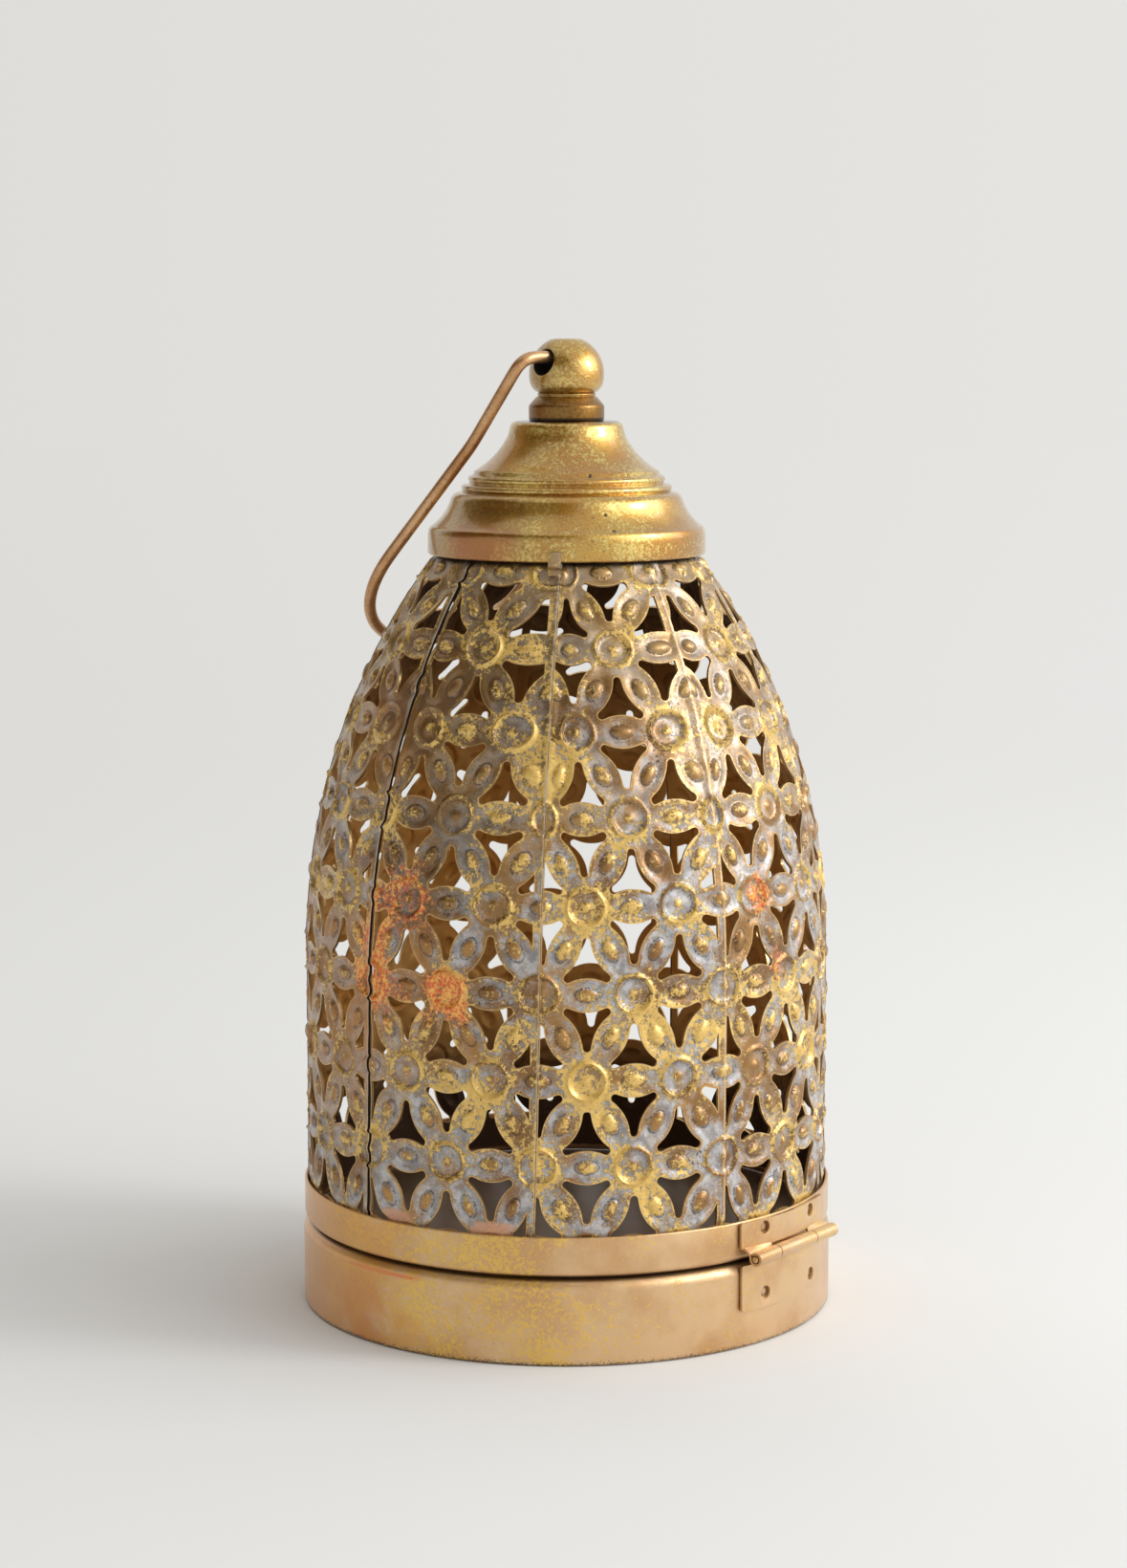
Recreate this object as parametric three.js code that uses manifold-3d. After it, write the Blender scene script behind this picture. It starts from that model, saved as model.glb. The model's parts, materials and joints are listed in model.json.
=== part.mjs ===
// Pierced metal candle lantern. A dome of embossed and pierced gores stands in a collar that is
// hinged to a round pan, with a spun cap, a ball finial and a wire bail on top.
// Millimetres, Z up, the lantern's axis on Z and the rim of the pan on Z = 0.
// The hinge is on the +X side and the catch on the -X side.
import * as THREE from 'three';
import { mergeVertices } from 'three/addons/utils/BufferGeometryUtils.js';
import loadManifold from 'manifold-3d';

const wasm = await loadManifold();
wasm.setup();

// Clearance between pieces that touch, and the sheet they are pressed from
const FIT = 0.3;
const SHEET = 0.8;
const GORE_SHEET = 0.7;

// Pan: an upturned dish whose flat top is the candle floor
const PAN_R = 65.7;
const PAN_H = 20.8;
const PAN_SHOULDER = 3;
const PAN_HEM_H = 3;

// Collar: a band with its lower edge turned in to a ledge
const COLLAR_H = 9.7;
const COLLAR_BEND = 1.6;
const COLLAR_LEDGE = 1;

// Dome: upright gores, set in from the side of the pan, that bend over in one arc to the cap
const GORES = 9;
const GORE_INSET = 1.7;
const WALL_H = 67;
const DOME_H = 97;
const GORE_TUCK = 3;
const SEAM_GAP = 0.4;
const SELVEDGE = 1.2;

// Pattern: rows of flower bosses, with a three-pointed hole in each triangle between them
const FLOWERS_PER_GORE = 2;
const FIRST_ROW = 24.9;
const ROW_PITCH = 20.3;
const BOSS_R = 5.6;
const BOSS_RISE = 0.6;
const HOLE_TIP = 6.1;
const HOLE_WAIST = 2.6;
const HOLE_LEAST_AREA = 5;

// Cap: spun sheet with a skirt, a hollow slope, a lip, two beads and a bell
const CAP_R = 34;
const CAP_HEM = 1.3;
const CAP_HEM_H = 2.5;
const CAP_PLAY = 0.4;
const SKIRT_H = 4.7;
const SHOULDER_R = 32.8;
const SHOULDER_H = 7.1;
const COVE_R = 29.9;
const COVE_H = 9.5;
const SLOPE_R = 28.6;
const SLOPE_H = 12.8;
const LIP_R = 28.2;
const LIP_H = 14.7;
const BEAD_R = 25.8;
const BEAD_H = 15.4;
const UPPER_BEAD_R = 24.1;
const UPPER_BEAD_H = 18;
const BEAD_EDGE = 1.5;
const BELL_FOOT_R = 22.6;
const BELL_FOOT_H = 20.9;
const BELL_WAIST_R = 17.4;
const BELL_WAIST_H = 23.7;
const BELL_R = 14.7;
const BELL_H = 29.2;
const CAP_TOP_R = 11.6;
const CAP_TOP_H = 32.3;

// Finial: a turned ball on a neck and a flange with a cone, held by a stud, a washer and a nut
const FLANGE_R = 9.2;
const FLANGE_H = 3.4;
const CONE_R = 7.3;
const CONE_H = 5.8;
const NECK_R = 6.7;
const NECK_H = 6.3;
const BALL_R = 9.15;
const BALL_RISE = 11.1;
const BALL_FLAT = 8.5;
const BALL_FOOT_H = 7.6;
const CROSS_HOLE_R = 3.2;
const CROSS_HOLE_RISE = 2.8;
const FINIAL_TURN = THREE.MathUtils.degToRad(-6.5);
const STUD_R = 2;
const STUD_END = 1;
const WASHER_R = 6;
const WASHER_H = 1;
const NUT_R = 4.6;
const NUT_H = 3.6;

// Bail: one bent wire whose ends meet inside the ball and bear on the top of its cross hole.
// It is pulled to the front, so the rear leg is close to the ball
const BAIL_WIRE_R = 1.5;
const BAIL_FRONT = { neck: 16, knee: 18.3, belly: 28.2 };
const BAIL_REAR = { neck: 11.2, knee: 15, belly: 26.9 };
const BAIL_BEND = 5;
const BAIL_KNEE_DOWN = 25.5;
const BAIL_BELLY_DOWN = 58;
const BAIL_LENGTH = 87;
const BAIL_CORNER = 18;
const BAIL_END_GAP = 1;

// Hinge: two curved leaves on one pin
const PIN_R = 0.8;
const PIN_END = 0.4;
const PIN_RISE = 1.5;
const KNUCKLE_R = 1.7;
const KNUCKLE_HALF = 17.2;
const MIDDLE_KNUCKLE_HALF = 7.8;
const LEAF_T = 0.7;
const LEAF_HALF = 18;
const LOWER_LEAF_H = 11.6;
const LEAF_MARGIN = 0.3;

// Rivets of the hinge: sunk below the face of the leaf, with a spread tail inside the pan
const RIVET_R = 1.3;
const RIVET_SUNK = 0.3;
const RIVET_TAIL_R = 2.4;
const RIVET_TAIL_H = 0.8;
const RIVET_SPREAD = 10;
const UPPER_RIVET_DROP = 2.4;
const LOWER_RIVET_RISE = 3.4;

// Catch: a hook on the collar that swings down on to a stud on the pan
const HOOK_T = 1;
const HOOK_LENGTH = 14.5;
const HOOK_EYE_R = 3;
const HOOK_ARM = 4;
const HOOK_END_R = 4;
const HOOK_DROP = 4.4;
const HOOK_PARKED = THREE.MathUtils.degToRad(65);
const PIVOT_R = 0.9;
const PIVOT_HEAD_R = 1.6;
const PIVOT_HEAD_H = 0.8;
const STUD_NECK_R = 1.2;
const STUD_HEAD_R = 2.4;
const STUD_HEAD_H = 1.2;

// Sides of the round pieces
const DRUM_SIDES = 32;
const CAP_SIDES = 20;
const FINIAL_SIDES = 16;
const WIRE_SIDES = 8;
const BAIL_STEPS = 46;
const PIN_SIDES = 12;
const RIVET_SIDES = 8;
const LEAF_STEPS = 6;
const CURVE_STEPS = 2;

// Points closer than this are one point
const WELD = 1e-4;

// Heights and radii that follow from the sizes above
const PAN_IN_R = (PAN_R - SHEET) * Math.cos(Math.PI / DRUM_SIDES);
const GORE_R = PAN_R - GORE_INSET;
const COLLAR_Z = PAN_H + FIT;
const COLLAR_TOP_Z = COLLAR_Z + COLLAR_H;
const COLLAR_IN_R = (GORE_R + FIT) / Math.cos(Math.PI / DRUM_SIDES);
const COLLAR_R = COLLAR_IN_R + SHEET;
const GORE_Z = COLLAR_Z + SHEET + FIT;
const DOME_Z = COLLAR_Z + WALL_H;
const CAP_Z = DOME_Z + DOME_H;
const CAP_TOP_Z = CAP_Z + CAP_TOP_H;
const FINIAL_Z = CAP_TOP_Z + FIT;
const BALL_Z = FINIAL_Z + BALL_RISE;
const CROSS_HOLE_Z = BALL_Z + CROSS_HOLE_RISE;
const BAIL_Z = CROSS_HOLE_Z + CROSS_HOLE_R * Math.cos(Math.PI / PIN_SIDES) - FIT - BAIL_WIRE_R;
const GORE_TOP_R = (CAP_R - CAP_HEM) * Math.cos(Math.PI / CAP_SIDES) - CAP_PLAY;
const DOME_DROP = GORE_R - GORE_TOP_R;
const DOME_ARC = (DOME_H ** 2 + DOME_DROP ** 2) / (2 * DOME_DROP);
const PIN_X = COLLAR_R + FIT + KNUCKLE_R;
const PIN_Z = PAN_H + PIN_RISE;

const GILT = { color: 0xb4935c, roughness: 0.45, metalness: 0.85 };
const COPPER = { color: 0xc08f5a, roughness: 0.4, metalness: 0.9 };
const BRASS = { color: 0xa98434, roughness: 0.35, metalness: 0.95 };
const BRONZE = { color: 0x86603a, roughness: 0.45, metalness: 0.9 };

const lantern = new THREE.Group();

// Adds a named piece to a group, by default the lantern itself
function addPiece(name, geometry, finish, parent = lantern) {
  const mesh = new THREE.Mesh(geometry, new THREE.MeshStandardMaterial(finish));
  mesh.name = name;
  parent.add(mesh);
  return mesh;
}

// Closed solid from a geometry: vertices merged, flat triangles dropped, faces pointing out
function solidOf(geometry) {
  const bare = geometry.clone();
  bare.deleteAttribute('normal');
  bare.deleteAttribute('uv');
  const merged = mergeVertices(bare, WELD);
  const index = merged.index.array;
  const corner = [0, 1, 2].map(() => new THREE.Vector3());
  const triangles = [];
  let volume = 0;
  for (let i = 0; i < index.length; i += 3) {
    const [a, b, c] = index.slice(i, i + 3);
    if (a === b || b === c || c === a) {
      continue;
    }
    [a, b, c].forEach((v, k) => corner[k].fromBufferAttribute(merged.attributes.position, v));
    volume += corner[0].dot(corner[1].clone().cross(corner[2]));
    triangles.push([a, b, c]);
  }
  const facing = volume < 0 ? triangles.map(([a, b, c]) => [a, c, b]) : triangles;
  const vertProperties = new Float32Array(merged.attributes.position.array);
  const triVerts = new Uint32Array(facing.flat());
  return new wasm.Manifold(new wasm.Mesh({ numProp: 3, vertProperties, triVerts }));
}

function geometryOf(solid) {
  const mesh = solid.getMesh();
  const geometry = new THREE.BufferGeometry();
  geometry.setAttribute('position', new THREE.BufferAttribute(new Float32Array(mesh.vertProperties), 3));
  geometry.setIndex(new THREE.BufferAttribute(new Uint32Array(mesh.triVerts), 1));
  geometry.computeVertexNormals();
  return geometry;
}

// Solid of revolution about Z from a profile of radius and height
function turned(profile, sides) {
  return solidOf(new THREE.LatheGeometry(profile, sides).rotateX(Math.PI / 2));
}

// Straight round bar between two points
function bar(radius, from, to, sides) {
  const along = to.clone().sub(from);
  const geometry = new THREE.CylinderGeometry(radius, radius, along.length(), sides);
  const turn = new THREE.Quaternion().setFromUnitVectors(new THREE.Vector3(0, 1, 0), along.normalize());
  geometry.applyQuaternion(turn);
  const middle = from.clone().add(to).multiplyScalar(0.5);
  return solidOf(geometry.translate(middle.x, middle.y, middle.z));
}

// Flat outline raised along Z from one height to another
function raised(shape, low, high, steps = 1) {
  const options = { depth: high - low, bevelEnabled: false, curveSegments: steps };
  return solidOf(new THREE.ExtrudeGeometry(shape, options).translate(0, 0, low));
}

function box(low, high) {
  const size = high.clone().sub(low);
  const middle = low.clone().add(high).multiplyScalar(0.5);
  return solidOf(new THREE.BoxGeometry(size.x, size.y, size.z).translate(middle.x, middle.y, middle.z));
}

const flat = (x, y) => new THREE.Vector2(x, y);
const spot = (x, y, z) => new THREE.Vector3(x, y, z);

// Round holes through the drum at an angle from +X, from well inside it to well outside
function drilled(solid, radius, angle, z) {
  const reach = [GORE_R - 2 * SHEET, PIN_X].map((r) => spot(r * Math.cos(angle), r * Math.sin(angle), z));
  return solid.subtract(bar(radius, reach[0], reach[1], RIVET_SIDES));
}

const rivetAngle = RIVET_SPREAD / PAN_R;
const rivetAngles = [rivetAngle, -rivetAngle];
const upperRivetZ = COLLAR_TOP_Z - UPPER_RIVET_DROP;
const lowerLeafZ = PAN_H - LOWER_LEAF_H;
const lowerRivetZ = lowerLeafZ + LOWER_RIVET_RISE;
const hookZ = COLLAR_TOP_Z - HOOK_DROP;
const studZ = hookZ - HOOK_LENGTH;

function pan() {
  const outside = new THREE.Path();
  outside.moveTo(0, PAN_H);
  outside.lineTo(PAN_R - PAN_SHOULDER, PAN_H);
  outside.absarc(PAN_R - PAN_SHOULDER, PAN_H - PAN_SHOULDER, PAN_SHOULDER, Math.PI / 2, 0, true);
  outside.lineTo(PAN_R, 0);
  outside.lineTo(PAN_R - 2 * SHEET, 0);
  outside.lineTo(PAN_R - 2 * SHEET, PAN_HEM_H);
  outside.lineTo(PAN_R - SHEET, PAN_HEM_H + SHEET);
  const inner = PAN_SHOULDER - SHEET;
  outside.absarc(PAN_R - PAN_SHOULDER, PAN_H - PAN_SHOULDER, inner, 0, Math.PI / 2, false);
  outside.lineTo(0, PAN_H - SHEET);
  let solid = turned(outside.getPoints(CURVE_STEPS / 2), DRUM_SIDES);
  rivetAngles.forEach((angle) => {
    solid = drilled(solid, RIVET_R + FIT, angle, lowerRivetZ);
  });
  return drilled(solid, STUD_NECK_R + FIT, Math.PI, studZ);
}

function collar() {
  const middleR = COLLAR_R - COLLAR_BEND;
  const middleZ = COLLAR_Z + COLLAR_BEND;
  const ledgeR = COLLAR_R - COLLAR_BEND - COLLAR_LEDGE;
  const band = new THREE.Path();
  band.moveTo(ledgeR, COLLAR_Z);
  band.absarc(middleR, middleZ, COLLAR_BEND, -Math.PI / 2, 0, false);
  band.lineTo(COLLAR_R, COLLAR_TOP_Z);
  band.lineTo(COLLAR_IN_R, COLLAR_TOP_Z);
  band.absarc(middleR, middleZ, COLLAR_BEND - SHEET, 0, -Math.PI / 2, true);
  band.lineTo(ledgeR, COLLAR_Z + SHEET);
  band.closePath();
  let solid = turned(band.getPoints(CURVE_STEPS / 2), DRUM_SIDES);
  rivetAngles.forEach((angle) => {
    solid = drilled(solid, RIVET_R + FIT, angle, upperRivetZ);
  });
  return drilled(solid, PIVOT_R + FIT, Math.PI, hookZ);
}

// Pierced gores. A gore is laid out flat: x is the arc length round the lantern from the gore's
// middle line, y the length along the meridian from its lower edge.
const seamHalf = (radius) => (radius * Math.PI) / GORES - SEAM_GAP / 2;
const flowerPitch = (2 * seamHalf(GORE_R)) / FLOWERS_PER_GORE;
const uprightLength = DOME_Z - GORE_Z;
const rimLength = uprightLength + DOME_ARC * Math.asin(DOME_H / DOME_ARC);
const goreLength = uprightLength + DOME_ARC * Math.asin((DOME_H + GORE_TUCK) / DOME_ARC);

// Radius, height and slope of the gore's outer face
function meridian(length) {
  const bend = Math.max(0, length - uprightLength) / DOME_ARC;
  const z = GORE_Z + Math.min(length, uprightLength) + DOME_ARC * Math.sin(bend);
  return { r: GORE_R - DOME_ARC * (1 - Math.cos(bend)), z, bend };
}

const goreHalf = (length) => seamHalf(meridian(length).r);
const rowLength = (row) => FIRST_ROW + row * ROW_PITCH;
const rowShift = (row) => (Math.abs(row) % 2) * flowerPitch / 2;

// Height of the boss at a point of the flat gore, with none under the collar or the cap
function bossRise(point) {
  const row = Math.round((point.y - FIRST_ROW) / ROW_PITCH);
  const middleY = rowLength(row);
  const lowest = COLLAR_TOP_Z - GORE_Z + BOSS_R;
  if (middleY < lowest || middleY > rimLength - BOSS_R) {
    return 0;
  }
  const column = Math.round((point.x - rowShift(row)) / flowerPitch);
  const middle = flat(column * flowerPitch + rowShift(row), middleY);
  return BOSS_RISE * Math.max(0, 1 - middle.distanceTo(point) / BOSS_R);
}

// The part of an outline where side(point) is not negative
function cutAt(points, side) {
  const kept = [];
  const isIn = (p) => side(p) > -WELD;
  points.forEach((p, i) => {
    const q = points[(i + 1) % points.length];
    if (isIn(p)) {
      kept.push(p);
    }
    if (isIn(p) !== isIn(q)) {
      const [from, to] = isIn(p) ? [p, q] : [q, p];
      kept.push(from.clone().lerp(to, side(from) / (side(from) - side(to))));
    }
  });
  return kept;
}

// An outline without the points that fall on the next one
const distinct = (points) => points.filter((p, i) => p.distanceTo(points[(i + 1) % points.length]) > WELD);

// Hole of a triangle: a tip towards each corner and a waist towards each edge
function holeOf(corners) {
  const middle = corners[0].clone().add(corners[1]).add(corners[2]).divideScalar(3);
  const towards = (target, reach) => target.clone().sub(middle).setLength(reach).add(middle);
  return corners.flatMap((corner, i) => {
    const edge = corner.clone().add(corners[(i + 1) % 3]).multiplyScalar(0.5);
    return [towards(corner, HOLE_TIP), towards(edge, HOLE_WAIST)];
  });
}

// Ring of triangles between a whole tile's outline (points 0 to 3) and its hole (points 4 to 9)
const RING = [
  [0, 1, 4], [1, 5, 4], [1, 6, 5], [1, 2, 6], [2, 7, 6],
  [2, 3, 7], [3, 8, 7], [3, 9, 8], [3, 0, 9], [0, 4, 9],
];

// Corners of a lattice tile: the two ends of its base and its tip
const tile = (start, end, base, tip) => [flat(start, base), flat(end, base), flat((start + end) / 2, tip)];

// Triangles of one lattice tile, cut to the gore between two rows
function tileTriangles(corners, halfAt) {
  const [start, end, apex] = corners;
  const whole = [start, start.clone().add(end).multiplyScalar(0.5), end, apex];
  const wholeHole = holeOf(corners);
  const trimmed = (points, margin) => [
    (p) => halfAt(p.y) - margin - p.x,
    (p) => halfAt(p.y) - margin + p.x,
    (p) => p.y - margin,
    (p) => goreLength - margin - p.y,
  ].reduce(cutAt, points);
  const outline = distinct(trimmed(whole, 0));
  if (outline.length < 3) {
    return [];
  }
  const cutHole = distinct(trimmed(wholeHole, SELVEDGE));
  const area = cutHole.length < 3 ? 0 : Math.abs(THREE.ShapeUtils.area(cutHole));
  const hole = area > HOLE_LEAST_AREA ? cutHole : [];
  const points = [...outline, ...hole];
  const isWhole = points.every((p) => whole.includes(p) || wholeHole.includes(p));
  if (isWhole && points.length === whole.length + wholeHole.length) {
    return RING.map((triangle) => triangle.map((i) => points[i]));
  }
  const holes = hole.length ? [hole] : [];
  return THREE.ShapeUtils.triangulateShape(outline, holes).map((triangle) => {
    const placed = triangle.map((i) => points[i]);
    return THREE.ShapeUtils.area(placed) < 0 ? placed.reverse() : placed;
  });
}

function flatGore() {
  const lastRow = Math.ceil((goreLength - FIRST_ROW) / ROW_PITCH);
  const firstRow = Math.floor(-FIRST_ROW / ROW_PITCH);
  const triangles = [];
  for (let row = firstRow; row < lastRow; row += 1) {
    const [low, high] = [rowLength(row), rowLength(row + 1)];
    const [lowHalf, highHalf] = [goreHalf(Math.max(low, 0)), goreHalf(high)];
    const halfAt = (y) => lowHalf + ((highHalf - lowHalf) * (y - low)) / (high - low);
    for (let column = -FLOWERS_PER_GORE; column <= FLOWERS_PER_GORE; column += 1) {
      const lowX = column * flowerPitch + rowShift(row);
      const highX = column * flowerPitch + rowShift(row + 1);
      const upright = tile(lowX, lowX + flowerPitch, low, high);
      const hanging = tile(highX + flowerPitch, highX, high, low);
      triangles.push(...tileTriangles(upright, halfAt), ...tileTriangles(hanging, halfAt));
    }
  }
  return triangles;
}

// Gore centred on +X: the flat gore wrapped on the dome, with its two faces and its cut edges
function gore() {
  const index = new Map();
  const outer = [];
  const inner = [];
  const wrapped = (point, offset) => {
    const { r, z, bend } = meridian(point.y);
    const reach = r + offset * Math.cos(bend);
    const angle = point.x / r;
    return spot(reach * Math.cos(angle), reach * Math.sin(angle), z + offset * Math.sin(bend));
  };
  const numberOf = (point) => {
    const key = point.toArray().map((value) => Math.round(value / WELD)).join();
    if (!index.has(key)) {
      index.set(key, outer.length);
      const rise = bossRise(point);
      outer.push(wrapped(point, rise));
      inner.push(wrapped(point, rise - GORE_SHEET));
    }
    return index.get(key);
  };
  const faces = flatGore().map((triangle) => triangle.map(numberOf));
  const sides = faces.flatMap(([a, b, c]) => [[a, b], [b, c], [c, a]]);
  const known = new Set(sides.map((side) => side.join()));
  const edges = sides.filter(([a, b]) => !known.has([b, a].join()));
  const deep = outer.length;
  const triangles = [
    ...faces,
    ...faces.map(([a, b, c]) => [a + deep, c + deep, b + deep]),
    ...edges.flatMap(([a, b]) => [[a, a + deep, b + deep], [a, b + deep, b]]),
  ];
  const geometry = new THREE.BufferGeometry().setFromPoints([...outer, ...inner]);
  geometry.setIndex(triangles.flat());
  return geometryOf(solidOf(geometry));
}

// Outer profile of the cap, from its rim up to the hole for the finial's stud
function capProfile() {
  const profile = new THREE.Path();
  profile.moveTo(CAP_R, 0);
  profile.lineTo(CAP_R, SKIRT_H);
  profile.quadraticCurveTo(CAP_R, SHOULDER_H, SHOULDER_R, SHOULDER_H);
  profile.quadraticCurveTo(COVE_R, COVE_H, SLOPE_R, SLOPE_H);
  profile.quadraticCurveTo(LIP_R, LIP_H, BEAD_R, BEAD_H);
  profile.lineTo(BEAD_R, BEAD_H + BEAD_EDGE);
  profile.lineTo(UPPER_BEAD_R, UPPER_BEAD_H);
  profile.lineTo(UPPER_BEAD_R, UPPER_BEAD_H + BEAD_EDGE);
  profile.lineTo(BELL_FOOT_R, BELL_FOOT_H);
  profile.quadraticCurveTo(BELL_WAIST_R, BELL_WAIST_H, BELL_R, BELL_H);
  profile.quadraticCurveTo(BELL_R, CAP_TOP_H, CAP_TOP_R, CAP_TOP_H);
  profile.lineTo(STUD_R + FIT, CAP_TOP_H);
  return profile.getPoints(CURVE_STEPS);
}

// Inner profile, one sheet in and down from the outer one, with straight runs behind its bulges
function capLining() {
  const profile = new THREE.Path();
  profile.moveTo(CAP_R, SKIRT_H);
  profile.lineTo(SHOULDER_R, SHOULDER_H);
  profile.quadraticCurveTo(COVE_R, COVE_H, SLOPE_R, SLOPE_H);
  profile.lineTo(BEAD_R, BEAD_H);
  profile.lineTo(UPPER_BEAD_R, UPPER_BEAD_H);
  profile.lineTo(BELL_FOOT_R, BELL_FOOT_H);
  profile.quadraticCurveTo(BELL_WAIST_R, BELL_WAIST_H, BELL_R, BELL_H);
  profile.lineTo(CAP_TOP_R, CAP_TOP_H);
  return profile.getPoints(CURVE_STEPS).map((p) => flat(p.x - SHEET, p.y - SHEET));
}

function cap() {
  const outside = capProfile();
  const inside = capLining().reverse();
  const stud = flat(STUD_R + FIT, CAP_TOP_H - SHEET);
  const hemR = CAP_R - CAP_HEM;
  const hem = [flat(CAP_R - SHEET, CAP_HEM_H), flat(hemR, CAP_HEM_H), flat(hemR, 0)];
  return turned([...outside, stud, ...inside, ...hem, outside[0]], CAP_SIDES);
}

const studLength = FIT + SHEET + FIT + WASHER_H + FIT + NUT_H + STUD_END;

function finial() {
  const profile = new THREE.Path();
  profile.moveTo(0, -studLength);
  profile.lineTo(STUD_R, -studLength);
  profile.lineTo(STUD_R, 0);
  profile.lineTo(FLANGE_R, 0);
  profile.lineTo(FLANGE_R, FLANGE_H);
  profile.lineTo(CONE_R, CONE_H);
  profile.lineTo(NECK_R, NECK_H);
  profile.quadraticCurveTo(BALL_R, BALL_FOOT_H, BALL_R, BALL_RISE);
  profile.absarc(0, BALL_RISE, BALL_R, 0, Math.asin(BALL_FLAT / BALL_R), false);
  profile.lineTo(0, BALL_RISE + BALL_FLAT);
  const body = turned(profile.getPoints(CURVE_STEPS), FINIAL_SIDES);
  const holeZ = BALL_RISE + CROSS_HOLE_RISE;
  const across = [spot(0, -2 * BALL_R, holeZ), spot(0, 2 * BALL_R, holeZ)];
  return body.subtract(bar(CROSS_HOLE_R, across[0], across[1], PIN_SIDES));
}

function washer() {
  const bore = STUD_R + FIT;
  const ring = [flat(bore, 0), flat(WASHER_R, 0), flat(WASHER_R, WASHER_H), flat(bore, WASHER_H)];
  return turned([...ring, ring[0]], FINIAL_SIDES);
}

function nut() {
  const corner = (i) => flat(Math.cos((i * Math.PI) / 3), Math.sin((i * Math.PI) / 3)).multiplyScalar(NUT_R);
  const outline = new THREE.Shape([0, 1, 2, 3, 4, 5].map(corner));
  outline.holes.push(new THREE.Path().absarc(0, 0, STUD_R + FIT, 0, 2 * Math.PI, true));
  return raised(outline, 0, NUT_H, PIN_SIDES / 2);
}

// Half of the bail's wire line, on the XY plane: y across the loop, -x away from the ball
function bailHalf(leg, side) {
  const at = (across, down) => spot(-down, side * across, 0);
  const pull = flat(leg.belly - leg.knee, BAIL_BELLY_DOWN - BAIL_KNEE_DOWN).setLength(BAIL_CORNER);
  const top = at(leg.neck - BAIL_BEND, 0);
  const shoulder = at(leg.neck, BAIL_BEND);
  const knee = at(leg.knee, BAIL_KNEE_DOWN);
  const belly = at(leg.belly, BAIL_BELLY_DOWN);
  const foot = at(0, BAIL_LENGTH);
  return [
    new THREE.LineCurve3(at(BAIL_END_GAP / 2, 0), top),
    new THREE.QuadraticBezierCurve3(top, at(leg.neck, 0), shoulder),
    new THREE.LineCurve3(shoulder, knee),
    new THREE.LineCurve3(knee, belly),
    new THREE.CubicBezierCurve3(
      belly, at(leg.belly + pull.x, BAIL_BELLY_DOWN + pull.y), at(BAIL_CORNER, BAIL_LENGTH), foot),
  ];
}

function bail() {
  const route = new THREE.CurvePath();
  bailHalf(BAIL_REAR, 1).forEach((curve) => route.add(curve));
  bailHalf(BAIL_FRONT, -1).reverse().forEach((curve) => {
    const points = ['v3', 'v2', 'v1', 'v0'].filter((end) => curve[end]).map((end) => curve[end]);
    route.add(new curve.constructor(...points));
  });
  const section = new THREE.Shape().absarc(0, 0, BAIL_WIRE_R, 0, 2 * Math.PI, false);
  const options = { steps: BAIL_STEPS, extrudePath: route, curveSegments: WIRE_SIDES / 2 };
  return solidOf(new THREE.ExtrudeGeometry(section, options));
}

// Angle below level at which the foot of the bail lies on the dome: the circle that the foot
// swings on meets a circle of the dome's own arc, moved out by the wire
function bailLean() {
  const arcCentre = flat(GORE_R - DOME_ARC, DOME_Z - BAIL_Z);
  const reach = DOME_ARC + FIT + BAIL_WIRE_R;
  const apart = arcCentre.length();
  const share = (BAIL_LENGTH ** 2 + apart ** 2 - reach ** 2) / (2 * BAIL_LENGTH * apart);
  return -(arcCentre.angle() - 2 * Math.PI + Math.acos(share));
}

const hingeBar = (r, from, to) => bar(r, spot(PIN_X, from, PIN_Z), spot(PIN_X, to, PIN_Z), PIN_SIDES);

// Leaf of the hinge: a plate curved to the drum, with knuckles curled round the pin
function leaf(innerR, low, high, knuckles, curlLow) {
  const half = LEAF_HALF / innerR;
  const plan = new THREE.Shape();
  plan.absarc(0, 0, innerR + LEAF_T, -half, half, false);
  plan.absarc(0, 0, innerR, half, -half, true);
  let solid = raised(plan, low, high, LEAF_STEPS / 2);
  knuckles.forEach(([from, to]) => {
    const start = Math.asin(from / (innerR + LEAF_T / 2));
    const end = Math.asin(to / (innerR + LEAF_T / 2));
    const curl = new THREE.Shape();
    curl.moveTo(PIN_X, from);
    curl.lineTo(PIN_X, to);
    curl.absarc(0, 0, innerR + LEAF_T / 2, end, start, true);
    solid = solid.add(raised(curl, curlLow, curlLow + KNUCKLE_R, LEAF_STEPS / 3));
    solid = solid.add(hingeBar(KNUCKLE_R, from, to));
  });
  return solid.subtract(hingeBar(PIN_R + FIT, -LEAF_HALF, LEAF_HALF));
}

const knuckleClear = KNUCKLE_R + FIT;
const outerKnuckle = MIDDLE_KNUCKLE_HALF + FIT;

function upperLeaf() {
  const knuckles = [[-KNUCKLE_HALF, -outerKnuckle], [outerKnuckle, KNUCKLE_HALF]];
  let solid = leaf(COLLAR_R + FIT, PIN_Z, COLLAR_TOP_Z - LEAF_MARGIN, knuckles, PIN_Z);
  const notchLow = spot(GORE_R - LEAF_HALF, -outerKnuckle, PIN_Z - knuckleClear);
  solid = solid.subtract(box(notchLow, spot(PIN_X + knuckleClear, outerKnuckle, PIN_Z + knuckleClear)));
  rivetAngles.forEach((angle) => {
    solid = drilled(solid, RIVET_R + FIT, angle, upperRivetZ);
  });
  return solid;
}

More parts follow.
